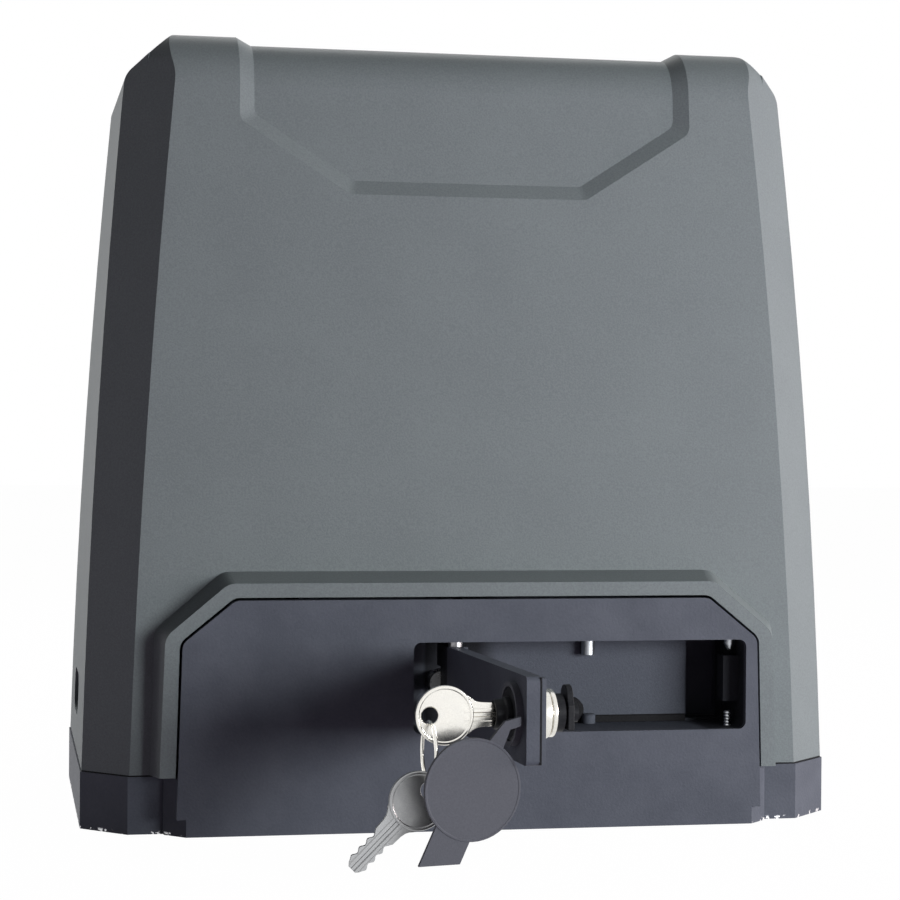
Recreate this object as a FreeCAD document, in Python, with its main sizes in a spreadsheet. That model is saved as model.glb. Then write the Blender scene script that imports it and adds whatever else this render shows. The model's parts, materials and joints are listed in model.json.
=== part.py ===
"""Sliding gate motor with a key-locked manual release, as a parametric FreeCAD document.

Millimetres.  X runs along the gate, -Y is the user's side, +Z is up.  The origin is the centre of the
foundation slots on the underside of the base.  The release lever is modelled open, with its key in.
"""
import FreeCAD, Part
import math
import os
import Sketcher

SIZES = [
    # base casting
    ("base_width", 316, "plinth, side to side"),
    ("base_depth", 182, "plinth, front to back"),
    ("corner_chamfer", 18.2, "vertical corners of plinth and cover"),
    ("plinth_height", 23, "from the ground to the parting line"),
    ("plinth_wall", 6, "plinth rim"),
    ("plinth_floor", 7, "plinth floor"),
    ("slot_pitch_x", 256, "foundation slots, centre to centre along X"),
    ("slot_pitch_y", 112, "foundation slots, centre to centre along Y"),
    ("slot_length", 24, "foundation slot, end to end along X"),
    ("slot_width", 11, "foundation slot for an M10 stud"),
    ("level_pitch_y", 150, "levelling screws, centre to centre along Y"),
    ("level_thread", 10, "levelling screw"),
    ("cable_hole", 36, "cable entry in the floor"),
    ("cable_gap", 6.3, "cable entry to the gear case"),
    ("cable_forward", 50, "cable entry, forward from the back"),
    # front panel and release compartment
    ("panel_proud", 10.3, "panel face ahead of the plinth"),
    ("panel_foot_half", 125.5, "half width below the parting line"),
    ("panel_half", 121, "half width above the parting line"),
    ("panel_shoulder_half", 119, "half width where the corner starts"),
    ("panel_shoulder", 77, "height where the corner starts"),
    ("panel_top_half", 98, "half width of the top edge"),
    ("panel_top", 94, "height of the top edge"),
    ("panel_wall", 7, "panel thickness"),
    ("panel_round", 5, "corner radius of the panel and its rim"),
    ("mouth_left", -25.9, "compartment mouth"),
    ("mouth_right", 114.3, "compartment mouth"),
    ("mouth_low", 39.5, "compartment mouth"),
    ("mouth_high", 76.6, "compartment mouth"),
    ("mouth_round", 3, "corner radius of the mouth"),
    ("pocket_depth", 30.3, "panel face to the gear case wall"),
    ("well_width", 17, "deeper well at the right of the compartment"),
    ("well_extra", 14, "well beyond the gear case wall"),
    ("keeper_reach", 6.8, "keeper for the lock tongue, from the right end of the mouth"),
    # gear case
    ("case_left", 58, "gear case, left of the output shaft"),
    ("case_right", 112, "gear case, right of the output shaft"),
    ("case_back_gap", 12, "gear case to the back of the plinth"),
    ("case_height", 116, "ground to the lid's underside"),
    ("case_wall", 6, "gear case walls"),
    ("lid_thick", 8, "gear case lid"),
    ("shaft_height", 58.5, "output shaft above the ground"),
    # cover
    ("cover_height", 326, "ground to the top of the cover"),
    ("cover_wall", 3, "cover thickness"),
    ("cover_lean", 0.0206, "inward lean of the sides at the ground, per mm of height"),
    ("cover_bulge", 4445, "radius of the sides' curve"),
    ("front_share", 0.9, "lean of front and back as a share of the sides'"),
    ("corner_grow", 0.005, "growth of the corner chamfer, per mm of height"),
    ("top_round", 24, "top edge, front and back"),
    ("corner_round", 16, "top edge of the cut corners"),
    ("part_gap", 0.6, "gap at the parting line"),
    ("rim_gap", 1.1, "gap between panel and cover"),
    ("rim_width", 5.7, "flat of the raised rim round the panel"),
    ("rim_back", 0.8, "rim face behind the panel face"),
    ("rim_flank", 18, "slope of the rim's outer flank, degrees"),
    ("shoulder_in", 18.5, "flat top ends this far in from the sides"),
    ("shoulder_drop", 17.5, "fall of the sloped shoulders"),
    ("shoulder_round_high", 5, "edge between top and shoulder"),
    ("shoulder_round_low", 9, "edge between shoulder and side"),
    ("sunk_depth", 3.3, "sunken panel at the top of the cover"),
    ("sunk_half", 89, "sunken floor, half width at the top"),
    ("sunk_low_half", 48, "sunken floor, half width at its lower edge"),
    ("sunk_fall", 60.7, "sunken floor, top of the cover to its lower edge"),
    ("sunk_bend_fall", 33.8, "sunken floor, top of the cover to where the diagonals start"),
    ("sunk_wall", 6.2, "width of the sunken panel's sloped walls"),
    ("sunk_round", 12, "corner radius of the sunken panel"),
    ("recess_length", 44, "side screw recess along Y"),
    ("recess_height", 18, "side screw recess"),
    ("recess_z", 47, "side screw recess"),
    ("recess_y", 10, "side screw recess"),
    ("recess_depth", 7, "side screw recess"),
    # release lever and lock
    ("lever_pivot_x", -8, "lever pin"),
    ("lever_pivot_in", 4.25, "lever pin behind the panel face"),
    ("lever_open", 87, "opening angle, degrees"),
    ("lever_length", 120, "pin to free end"),
    ("lever_stub", 16, "pin to the short end"),
    ("lever_thick", 5.4, "lever casting"),
    ("skin_thick", 2.1, "plate on the lever's inner side"),
    ("lever_low", 42.4, "lever's lower edge"),
    ("lever_high", 74.6, "lever's upper edge"),
    ("pin_diameter", 6, "lever pin"),
    ("lock_at", 104, "lock, from the lever pin"),
    ("lock_height", 59.5, "lock above the ground"),
    ("lock_barrel", 14, "lock barrel diameter"),
    ("lock_flange", 20, "lock flange diameter"),
    ("lock_flange_thick", 2.2, "lock flange"),
    ("lock_reach", 10, "barrel beyond the lever's inner face"),
    ("nut_diameter", 18.6, "lock nut"),
    ("nut_thick", 4.5, "lock nut"),
    ("plug_diameter", 9.6, "lock plug"),
    ("key_thick", 2.2, "key"),
    ("key_bow", 23, "key bow diameter"),
    ("key_bow_out", 26.4, "bow centre from the lever's outer face"),
    ("key_hole", 6.4, "hole in the bow"),
    ("key_hole_out", 5.5, "hole from the bow's centre"),
    ("key_blade", 7.4, "blade width"),
    ("key_reach", 38, "bow centre to the blade's tip"),
    ("ring_radius", 11, "key ring, to the wire's centre"),
    ("ring_wire", 1.5, "key ring wire"),
    ("spare_tilt", 44.5, "spare key below the horizontal, degrees"),
    ("cap_disc", 36.6, "keyhole cap disc"),
    ("cap_thick", 2.4, "keyhole cap"),
    # release and drive train
    ("cam_closed", 4.05, "cam radius with the lever shut"),
    ("cam_stroke", 5.6, "travel of the release rod"),
    ("rod_diameter", 8, "release rod"),
    ("fit_gap", 0.05, "radial running gap"),
    ("shaft_diameter", 25, "output shaft"),
    ("wheel_teeth", 32, "worm wheel"),
    ("wheel_module", 2.5, "worm wheel and worm"),
    ("wheel_face", 22, "worm wheel width"),
    ("wheel_y", -24, "worm wheel's middle plane"),
    ("worm_pitch_radius", 11.25, "worm"),
    ("worm_length", 44, "worm thread"),
    ("worm_foot", 12.4, "lower end of the motor shaft above the ground"),
    ("motor_shaft", 12, "motor shaft diameter"),
    ("pinion_teeth", 16, "output pinion"),
    ("pinion_module", 4, "output pinion"),
    ("pinion_face", 30, "output pinion width"),
    ("pinion_gap", 6, "plinth to pinion"),
    ("motor_diameter", 94, "stator"),
    ("stator_length", 72, "stator stack"),
    ("bell_height", 24, "motor end bells"),
    # electronics
    ("capacitor_diameter", 38, "run capacitor"),
    ("capacitor_height", 78, "run capacitor"),
    ("board_in", 20, "board bracket, in from the left side"),
    ("bracket_height", 130, "board bracket"),
    ("board_standoff", 5, "bracket to board"),
]

doc = FreeCAD.newDocument("gate_motor")
sheet = doc.addObject("Spreadsheet::Sheet", "Sizes")
nodes = []


class Term:
    """A size that carries both its value and the sheet expression that gives it."""

    def __init__(self, text, value):
        self.text = text
        self.value = value

    def join(self, sign, other, value, swap=False):
        other_text = other.text if isinstance(other, Term) else repr(float(other))
        pair = (other_text, self.text) if swap else (self.text, other_text)
        return Term("(%s %s %s)" % (pair[0], sign, pair[1]), value)

    def __add__(self, other):
        return self.join("+", other, self.value + number(other))

    def __radd__(self, other):
        return self + other

    def __sub__(self, other):
        return self.join("-", other, self.value - number(other))

    def __rsub__(self, other):
        return self.join("-", other, number(other) - self.value, swap=True)

    def __mul__(self, other):
        return self.join("*", other, self.value * number(other))

    def __rmul__(self, other):
        return self * other

    def __truediv__(self, other):
        return self.join("/", other, self.value / number(other))

    def __rtruediv__(self, other):
        return self.join("/", other, number(other) / self.value, swap=True)

    def __neg__(self):
        return 0 - self


def number(size):
    return size.value if isinstance(size, Term) else float(size)


class Sizes:
    """The sheet's cells as attributes."""


s = Sizes()
for row, (alias, value, note) in enumerate(SIZES, 1):
    sheet.set("A%d" % row, alias)
    sheet.set("B%d" % row, str(value))
    sheet.setAlias("B%d" % row, alias)
    sheet.set("C%d" % row, note)
    setattr(s, alias, Term("Sizes." + alias, float(value)))
doc.recompute()


# ---------------------------------------------------------------- helpers

def bind(thing, prop, size):
    """Sets a property and, when the size comes from the sheet, ties it to the sheet."""
    if isinstance(size, Term):
        thing.setExpression(prop, size.text)
    else:
        owner, _, last = prop.rpartition(".")
        target = thing
        for step in filter(None, owner.split(".")):
            target = getattr(target, step)
        if owner:
            thing.setExpression(prop, repr(float(size)))
        else:
            setattr(target, last, size)


def put(thing, at):
    for letter, size in zip("xyz", at):
        bind(thing, "Placement.Base." + letter, size)


TURNS = {
    "+Z": ((0, 0, 1), 0),
    "-Z": ((1, 0, 0), 180),
    "+X": ((0, 1, 0), 90),
    "-X": ((0, 1, 0), -90),
    "+Y": ((1, 0, 0), -90),
    "-Y": ((1, 0, 0), 90),
}


def point_along(thing, axis):
    """Turns a piece made along +Z to point along a row axis."""
    turn, angle = TURNS[axis]
    rotation = FreeCAD.Rotation(FreeCAD.Vector(*turn), angle)
    thing.Placement = FreeCAD.Placement(thing.Placement.Base, rotation)


def cylinder(name, radius, length, at=(0, 0, 0), axis="+Z"):
    thing = doc.addObject("Part::Cylinder", name)
    point_along(thing, axis)
    bind(thing, "Radius", radius)
    bind(thing, "Height", length)
    put(thing, at)
    return thing


def cone(name, low_radius, high_radius, length, at=(0, 0, 0), axis="+Z"):
    thing = doc.addObject("Part::Cone", name)
    point_along(thing, axis)
    bind(thing, "Radius1", low_radius)
    bind(thing, "Radius2", high_radius)
    bind(thing, "Height", length)
    put(thing, at)
    return thing


def box(name, low, size):
    thing = doc.addObject("Part::Box", name)
    for prop, length in zip(("Length", "Width", "Height"), size):
        bind(thing, prop, length)
    put(thing, low)
    return thing


def fuse(name, *pieces):
    thing = doc.addObject("Part::MultiFuse", name)
    thing.Shapes = list(pieces)
    return thing


def cut(name, base, *tools):
    thing = doc.addObject("Part::Cut", name)
    thing.Base = base
    thing.Tool = tools[0] if len(tools) == 1 else fuse(name + "_tools", *tools)
    return thing


def group(name, *pieces):
    """Separate solids kept together in one node."""
    thing = doc.addObject("Part::Compound", name)
    thing.Links = list(pieces)
    return thing


def plane_of(body, role):
    return [o for o in body.Origin.OriginFeatures if o.Role == role][0]


def new_sketch(body, name, role, offset=0):
    sketch = body.newObject("Sketcher::SketchObject", name)
    sketch.AttachmentSupport = [(plane_of(body, role), "")]
    sketch.MapMode = "FlatFace"
    bind(sketch, "AttachmentOffset.Base.z", offset)
    return sketch


def hold(sketch, kind, first, second, size):
    made = sketch.addConstraint(Sketcher.Constraint(kind, *first, *second, number(size)))
    if isinstance(size, Term):
        sketch.setExpression("Constraints[%d]" % made, size.text)


def draw(sketch, points):
    """A closed outline through points, each held by two sizes from the origin."""
    start = sketch.GeometryCount
    spots = [FreeCAD.Vector(number(x), number(y), 0) for x, y in points]
    count = len(spots)
    for i in range(count):
        sketch.addGeometry(Part.LineSegment(spots[i], spots[(i + 1) % count]), False)
    for i in range(count):
        sketch.addConstraint(
            Sketcher.Constraint("Coincident", start + i, 2, start + (i + 1) % count, 1)
        )
    for i, (x, y) in enumerate(points):
        hold(sketch, "DistanceX", (-1, 1), (start + i, 1), x)
        hold(sketch, "DistanceY", (-1, 1), (start + i, 1), y)


def draw_circle(sketch, x, y, radius):
    centre = FreeCAD.Vector(number(x), number(y), 0)
    made = sketch.addGeometry(
        Part.Circle(centre, FreeCAD.Vector(0, 0, 1), number(radius)), False
    )
    hold(sketch, "DistanceX", (-1, 1), (made, 3), x)
    hold(sketch, "DistanceY", (-1, 1), (made, 3), y)
    index = sketch.addConstraint(Sketcher.Constraint("Radius", made, number(radius)))
    if isinstance(radius, Term):
        sketch.setExpression("Constraints[%d]" % index, radius.text)


def new_body(name):
    return doc.addObject("PartDesign::Body", name)


def pad(body, name, role, offset, points, length, back=False, circles=(), taper=None):
    sketch = new_sketch(body, name + "_outline", role, offset)
    if points:
        draw(sketch, points)
    for circle in circles:
        draw_circle(sketch, *circle)
    feature = body.newObject("PartDesign::Pad", name)
    feature.Profile = sketch
    feature.Reversed = back
    bind(feature, "Length", length)
    if taper is not None:
        bind(feature, "TaperAngle", taper)
    return feature


def pocket(body, name, role, offset, points, length, back=False, circles=(), taper=None):
    sketch = new_sketch(body, name + "_outline", role, offset)
    for outline in points if points and isinstance(points[0], list) else [points]:
        if outline:
            draw(sketch, outline)
    for circle in circles:
        draw_circle(sketch, *circle)
    feature = body.newObject("PartDesign::Pocket", name)
    feature.Profile = sketch
    feature.Reversed = back
    bind(feature, "Length", length)
    if taper is not None:
        bind(feature, "TaperAngle", taper)
    return feature


def prism(name, role, offset, points, length, back=False, circles=(), taper=None):
    body = new_body(name)
    pad(body, name + "_pad", role, offset, points, length, back, circles, taper)
    return body


def turned(name, profile, at=(0, 0, 0), axis="+Z"):
    """A turned piece: profile gives (radius, distance along the axis) round its section."""
    body = new_body(name)
    sketch = new_sketch(body, name + "_section", "XZ_Plane")
    draw(sketch, profile)
    spin = body.newObject("PartDesign::Revolution", name + "_spin")
    spin.Profile = sketch
    spin.ReferenceAxis = (sketch, ["V_Axis"])
    spin.Angle = 360
    point_along(body, axis)
    put(body, at)
    return body


def soften(body, name, kind, size, wanted):
    """Fillet or chamfer on the edges of the body's tip that pass the test."""
    doc.recompute()
    base = body.Tip
    picked = [
        "Edge%d" % i for i, edge in enumerate(base.Shape.Edges, 1) if wanted(edge)
    ]
    if not picked:
        raise RuntimeError("no edges for " + name)
    feature = body.newObject("PartDesign::" + kind, name)
    feature.Base = (base, picked)
    bind(feature, "Radius" if kind == "Fillet" else "Size", size)
    doc.recompute()
    return feature


def middle(edge):
    return edge.valueAt((edge.FirstParameter + edge.LastParameter) / 2)


def runs_along(edge, letter):
    """True for a straight edge along one axis."""
    if len(edge.Vertexes) != 2:
        return False
    span = edge.Vertexes[1].Point - edge.Vertexes[0].Point
    length = max(span.Length, 1e-9)
    return abs(getattr(span, letter)) / length > 0.999


def node(thing, label):
    """Marks an object as one of the product's pieces."""
    thing.Label = label
    nodes.append(thing)
    return thing


def shaped(name, shape, at=(0, 0, 0), axis="+Z"):
    """A piece whose form needs Part's own functions."""
    thing = doc.addObject("Part::Feature", name)
    thing.Shape = shape
    point_along(thing, axis)
    put(thing, at)
    return thing


def tube(name, outer, inner, length, at=(0, 0, 0), axis="+Z"):
    profile = [(inner, 0), (outer, 0), (outer, length), (inner, length)]
    return turned(name, profile, at, axis)


# ---------------------------------------------------------------- places worked out from the sheet

half_w = s.base_width / 2
half_d = s.base_depth / 2
panel_y = -half_d - s.panel_proud
case_y = panel_y + s.pocket_depth
case_back = half_d - s.case_back_gap
cam_rate = s.cam_stroke / (s.lever_open * (math.pi / 180))
shaft_x = s.lever_pivot_x - cam_rate
pivot_y = panel_y + s.lever_pivot_in
wheel_radius = s.wheel_module * s.wheel_teeth / 2
worm_x = shaft_x + wheel_radius + s.worm_pitch_radius
case_low_x = shaft_x - s.case_left
case_high_x = shaft_x + s.case_right
lever_full = s.lever_thick + s.skin_thick
cable_x = case_low_x - s.cable_hole / 2 - s.cable_gap
cable_y = half_d - s.cable_forward
lid_top = s.case_height + s.lid_thick
bell_top = lid_top + s.bell_height
stack_top = bell_top + s.stator_length
motor_top = stack_top + s.bell_height
shaft_top = motor_top - 3


def lever_frame(thing):
    """Places a piece drawn along the shut lever, pin at the origin, on the open lever."""
    put(thing, (s.lever_pivot_x, pivot_y, 0))
    thing.Placement = FreeCAD.Placement(
        thing.Placement.Base, FreeCAD.Rotation(FreeCAD.Vector(0, 0, -1), number(s.lever_open))
    )
    put(thing, (s.lever_pivot_x, pivot_y, 0))
    thing.setExpression("Placement.Rotation.Angle", s.lever_open.text)
    return thing


def octagon(wide, deep, corner, shift=0):
    """Rectangle with cut corners, as outline points."""
    return [
        (-wide, -deep + corner),
        (-wide + corner, -deep),
        (wide - corner, -deep),
        (wide, -deep + corner),
        (wide, deep - corner),
        (wide - corner, deep),
        (-wide + corner, deep),
        (-wide, deep - corner),
    ]


def arch(grow, foot=None):
    """Outline of the front panel above the parting line, grown outward."""
    low = s.plinth_height if foot is None else foot
    return [
        (-s.panel_half - grow, low),
        (-s.panel_shoulder_half - grow, s.panel_shoulder + grow * 0.4),
        (-s.panel_top_half - grow * 0.4, s.panel_top + grow),
        (s.panel_top_half + grow * 0.4, s.panel_top + grow),
        (s.panel_shoulder_half + grow, s.panel_shoulder + grow * 0.4),
        (s.panel_half + grow, low),
    ]


def round_arch(body, radius):
    """Rounds the four upper corners of a piece padded from the panel's outline."""
    low = number(s.panel_shoulder) - 2
    soften(
        body, body.Name + "_corners", "Fillet", radius,
        lambda e: middle(e).z > low and len(e.Vertexes) == 2
        and abs(e.Vertexes[1].Y - e.Vertexes[0].Y) > 5,
    )


# ---------------------------------------------------------------- base casting

def base_housing():
    body = new_body("base_body")
    pad(body, "plinth", "XY_Plane", 0, octagon(half_w, half_d, s.corner_chamfer), s.plinth_height)
    inner = octagon(half_w - s.plinth_wall, half_d - s.plinth_wall, s.corner_chamfer - s.plinth_wall * 0.6)
    pocket(body, "plinth_hollow", "XY_Plane", s.plinth_floor, inner, s.plinth_height, back=True)

    # the panel: a proud foot below the parting line, the arch above it
    foot = [
        (-s.panel_foot_half, 0), (s.panel_foot_half, 0),
        (s.panel_foot_half, s.plinth_height), (-s.panel_foot_half, s.plinth_height),
    ]
    thick = s.panel_proud + s.plinth_wall
    pad(body, "panel_foot", "XZ_Plane", -panel_y, foot, thick, back=True)
    soften(
        body, "panel_flank", "Chamfer", s.panel_proud - 2,
        lambda e: runs_along(e, "z") and abs(middle(e).y - number(panel_y)) < 0.01,
    )
    pad(body, "panel", "XZ_Plane", -panel_y, arch(0, foot=s.plinth_floor), s.panel_wall, back=True)
    soften(
        body, "panel_corners", "Fillet", s.panel_round,
        lambda e: runs_along(e, "y") and middle(e).z > number(s.panel_shoulder) - 0.01,
    )

    # walls of the release compartment, from the panel back to the gear case
    wall_right = s.mouth_right + s.case_wall - 2
    wall_top = s.mouth_high + s.case_wall
    room = [
        (s.mouth_left - s.case_wall, s.plinth_floor), (wall_right, s.plinth_floor),
        (wall_right, wall_top - 6.5), (wall_right - 8, wall_top), (s.mouth_left - s.case_wall, wall_top),
    ]
    pad(body, "compartment", "XZ_Plane", -(panel_y + 1), room, s.pocket_depth, back=True)

    well = [
        (s.mouth_right - s.well_width - s.case_wall, s.plinth_floor),
        (wall_right, s.plinth_floor),
        (wall_right, wall_top),
        (s.mouth_right - s.well_width - s.case_wall, wall_top),
    ]
    pad(body, "well_walls", "XZ_Plane", -case_y, well, s.well_extra + 3, back=True)

    # gear case, open at the top
    case = [
        (case_low_x, case_y), (case_high_x, case_y),
        (case_high_x, case_back), (case_low_x, case_back),
    ]
    pad(body, "gear_case", "XY_Plane", 1, case, s.case_height - 1)
    gear_room_right = worm_x + 26
    room = [
        (case_low_x + s.case_wall, case_y + s.case_wall),
        (gear_room_right, case_y + s.case_wall),
        (gear_room_right, case_back - s.case_wall - 10),
        (case_low_x + s.case_wall, case_back - s.case_wall - 10),
    ]
    pocket(body, "gear_room", "XY_Plane", 12, room, s.case_height, back=True)
    side_room = [
        (gear_room_right + s.case_wall, case_y + s.well_extra + 9),
        (case_high_x - s.case_wall, case_y + s.well_extra + 9),
        (case_high_x - s.case_wall, case_back - s.case_wall),
        (gear_room_right + s.case_wall, case_back - s.case_wall),
    ]
    pocket(body, "dry_room", "XY_Plane", s.plinth_floor, side_room, s.case_height, back=True)

    # shaft bosses: front bearing seat inside, rear bearing and seal seat to the outside
    pad(
        body, "front_boss", "XZ_Plane", -case_y, None, 20, back=True,
        circles=[(shaft_x, s.shaft_height, 27)],
    )
    pad(
        body, "rear_boss", "XZ_Plane", -(case_back - 34), None, half_d - (case_back - 34), back=True,
        circles=[(shaft_x, s.shaft_height, 33)],
    )
    # worm bearing seat in the floor
    pad(
        body, "worm_boss", "XY_Plane", s.plinth_floor, None, 16,
        circles=[(worm_x, s.wheel_y, 20)],
    )
    pocket(
        body, "front_seat", "XZ_Plane", -(case_y + 8), None, 40,
        circles=[(shaft_x, s.shaft_height, 21)],
    )
    pocket(
        body, "rod_hole", "XZ_Plane", -(case_y - 5), None, 40,
        circles=[(shaft_x, s.shaft_height, s.rod_diameter / 2 + s.fit_gap)],
    )
    pocket(
        body, "rear_seat", "XZ_Plane", -(case_back - 36), None, 100,
        circles=[(shaft_x, s.shaft_height, 26)],
    )
    pocket(
        body, "worm_seat", "XY_Plane", 12, None, 60, back=True,
        circles=[(worm_x, s.wheel_y, 14)],
    )

    # the compartment's mouth, its room and the undercut for the lock's tongue
    mouth = [
        (s.mouth_left, s.mouth_low), (s.mouth_right, s.mouth_low),
        (s.mouth_right, s.mouth_high), (s.mouth_left, s.mouth_high),
    ]
    pocket(body, "mouth", "XZ_Plane", -(panel_y - 1), mouth, s.pocket_depth + 1)
    soften(
        body, "mouth_round", "Fillet", s.mouth_round,
        lambda e: runs_along(e, "y") and e.Length > 25
        and min(abs(middle(e).x - number(s.mouth_left)), abs(middle(e).x - number(s.mouth_right))) < 0.01
        and min(abs(middle(e).z - number(s.mouth_low)), abs(middle(e).z - number(s.mouth_high))) < 0.01,
    )
    well = [
        (s.mouth_right - s.well_width, s.mouth_low + 1), (s.mouth_right - 1, s.mouth_low + 1),
        (s.mouth_right - 1, s.mouth_high - 1), (s.mouth_right - s.well_width, s.mouth_high - 1),
    ]
    pocket(body, "well", "XZ_Plane", -(case_y - 1), well, s.well_extra + 1)
    keeper_y = pivot_y + lever_full / 2 + 1.8
    keeper_back = pivot_y + lever_full / 2 + s.lock_reach + 0.4
    keeper = [
        (s.mouth_right - s.keeper_reach, s.lock_height - 9.5), (s.mouth_right + 1, s.lock_height - 9.5),
        (s.mouth_right + 1, s.lock_height + 9.5), (s.mouth_right - s.keeper_reach, s.lock_height + 9.5),
    ]
    pad(body, "keeper", "XZ_Plane", -keeper_y, keeper, keeper_back - keeper_y, back=True)
    # lever pin hole through the floor and roof of the compartment
    pocket(
        body, "pin_hole", "XY_Plane", s.mouth_low - 8, None, s.mouth_high - s.mouth_low + 30, back=True,
        circles=[(s.lever_pivot_x, pivot_y, s.pin_diameter / 2)],
    )

    # foundation slots, levelling screws and cable entry
    straight = (s.slot_length - s.slot_width) / 2
    slot_middles, slot_ends, holes = [], [], [(cable_x, cable_y, s.cable_hole / 2)]
    for side in (-1, 1):
        for end in (-1, 1):
            x, y = s.slot_pitch_x / 2 * side, s.slot_pitch_y / 2 * end
            slot_middles.append([
                (x - straight, y - s.slot_width / 2), (x + straight, y - s.slot_width / 2),
                (x + straight, y + s.slot_width / 2), (x - straight, y + s.slot_width / 2),
            ])
            slot_ends += [(x - straight, y, s.slot_width / 2), (x + straight, y, s.slot_width / 2)]
            holes.append((x, s.level_pitch_y / 2 * end, s.level_thread / 2))
    pocket(body, "slot_middles", "XY_Plane", -1, slot_middles, s.plinth_height, back=True)
    pocket(body, "slot_ends", "XY_Plane", -1, None, s.plinth_height, back=True, circles=slot_ends)
    pocket(body, "floor_holes", "XY_Plane", -1, None, s.plinth_height, back=True, circles=holes)

    # posts for the cover screws
    for side, label in ((-1, "left"), (1, "right")):
        outer = (half_w - s.recess_depth - s.cover_wall - 0.3) * side
        inner_x = outer - 16 * side
        low_x, high_x = (outer, inner_x) if side < 0 else (inner_x, outer)
        post = [
            (low_x, s.recess_y - 9), (high_x, s.recess_y - 9),
            (high_x, s.recess_y + 9), (low_x, s.recess_y + 9),
        ]
        pad(body, "post_" + label, "XY_Plane", 3, post, s.recess_z + 9 - 3)
    pocket(
        body, "post_holes", "YZ_Plane", -half_w - 5, None, s.base_width + 10, back=True,
        circles=[(s.recess_y, s.recess_z, 2.5)],
    )
    return node(body, "base_housing")


# ---------------------------------------------------------------- cover

def cover_half(z):
    """Half width of the cover at a height: leaning in, with a long curve."""
    return half_w - s.cover_lean * z - z * z / (2 * s.cover_bulge)


def cover_deep(z):
    """Half depth of the cover at a height."""
    return half_d - (half_w - cover_half(z)) * s.front_share


def cover_corner(z, inset):
    """Leg of the cover's cut corners at a height."""
    return s.corner_chamfer + s.corner_grow * z - inset * 0.6


def corner_reach(z, inset):
    """Distance from the middle to the face of a cut corner at a height."""
    legs = cover_half(z) + cover_deep(z) - 2 * inset - cover_corner(z, inset)
    return legs / math.sqrt(2)


def corner_round(name, inset, high, turn):
    """Cutter that rounds the top edge of one cut corner, turned about the middle to face it."""
    radius = s.corner_round - inset
    bend = high - radius
    lean = (corner_reach(bend, inset) - corner_reach(high, inset)) / radius
    middle_y = -corner_reach(bend, inset) + radius * (1 + lean * lean / 2)
    half_length = s.corner_round * 3
    low_y = middle_y - radius - 9
    cutter = cut(
        name,
        box(name + "_block", (-half_length, low_y, bend + radius * lean), (half_length * 2, radius + 9, radius)),
        cylinder(name + "_roll", radius, half_length * 2 + 9, (-half_length - 4, middle_y, bend), "+X"),
    )
    upright = FreeCAD.Vector(0, 0, 1)
    cutter.Placement = FreeCAD.Placement(FreeCAD.Vector(), FreeCAD.Rotation(upright, turn))
    return cutter


def cover_loft(name, inset, low):
    """The cover's outer form, or the same form set in by an amount, with its top edges rounded."""
    body = new_body(name)
    high = s.cover_height - inset
    sections = []
    for step in range(5):
        z = low + (high - low) * (step / 4)
        sketch = new_sketch(body, "%s_section_%d" % (name, step), "XY_Plane", z)
        outline = octagon(cover_half(z) - inset, cover_deep(z) - inset, cover_corner(z, inset))
        draw(sketch, outline)
        sections.append(sketch)
    loft = body.newObject("PartDesign::AdditiveLoft", name + "_loft")
    loft.Profile = sections[0]
    loft.Sections = sections[1:]
    loft.Ruled = False
    radius = s.top_round - inset
    bend = high - radius
    lean = (cover_deep(bend) - cover_deep(high)) / radius
    start = bend + radius * lean
    cutters = []
    for side, label in ((-1, "front"), (1, "back")):
        middle_y = (cover_deep(bend) - inset - radius * (1 + lean * lean / 2)) * side
        low_y = middle_y if side > 0 else middle_y - radius - 9
        cutters.append(cut(
            "%s_%s_round" % (name, label),
            box("%s_%s_block" % (name, label), (-half_w, low_y, start), (s.base_width, radius + 9, radius)),
            cylinder(
                "%s_%s_roll" % (name, label), radius, s.base_width + 9, (-half_w - 4, middle_y, bend), "+X"
            ),
        ))
    for turn in (45, 135, 225, 315):
        cutters.append(corner_round("%s_corner_%d" % (name, turn), inset, high, turn))
    return cut(name + "_rounded", body, *cutters)


def shoulder_line():
    """Where the flat top ends, and where the shoulder meets the side."""
    flat = cover_half(s.cover_height) - s.shoulder_in
    low = s.cover_height - s.shoulder_drop
    return flat, low, cover_half(low)


def shoulder(name, side):
    """Cutter that slopes a top corner down to the side and rounds both its edges."""
    flat, low, wide = shoulder_line()
    skim = 0.01
    reach = s.shoulder_round_low
    top = s.cover_height + skim
    far = half_w + reach
    points = [
        ((flat - reach) * side, top), (flat * side, top), ((wide + skim) * side, low),
        ((cover_half(low - reach) + skim * 2) * side, low - reach), (far * side, low - reach),
        (far * side, top + reach), ((flat - reach) * side, top + reach),
    ]
    body = prism(name, "XZ_Plane", half_d + 9, points, s.base_depth + 18, back=True)
    for label, radius, x, z in (
        ("high", s.shoulder_round_high, flat, top), ("low", s.shoulder_round_low, wide + skim, low),
    ):
        soften(
            body, "%s_%s" % (name, label), "Fillet", radius,
            lambda e: runs_along(e, "y") and abs(middle(e).x - number(x * side)) < 0.05
            and abs(middle(e).z - number(z)) < 0.05,
        )
    return body


def inner_shoulder(name, side):
    """The same slope on the inside of the cover, a wall's thickness in."""
    flat, low, wide = shoulder_line()
    fall = s.shoulder_drop / (wide - flat)
    start = flat - s.cover_wall * 0.37
    top = s.cover_height - s.cover_wall
    far = half_w + s.cover_wall
    points = [
        (start * side, top), (far * side, top - (far - start) * fall),
        (far * side, top + 9), (start * side, top + 9),
    ]
    return prism(name, "XZ_Plane", half_d + 9, points, s.base_depth + 18, back=True)


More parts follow.
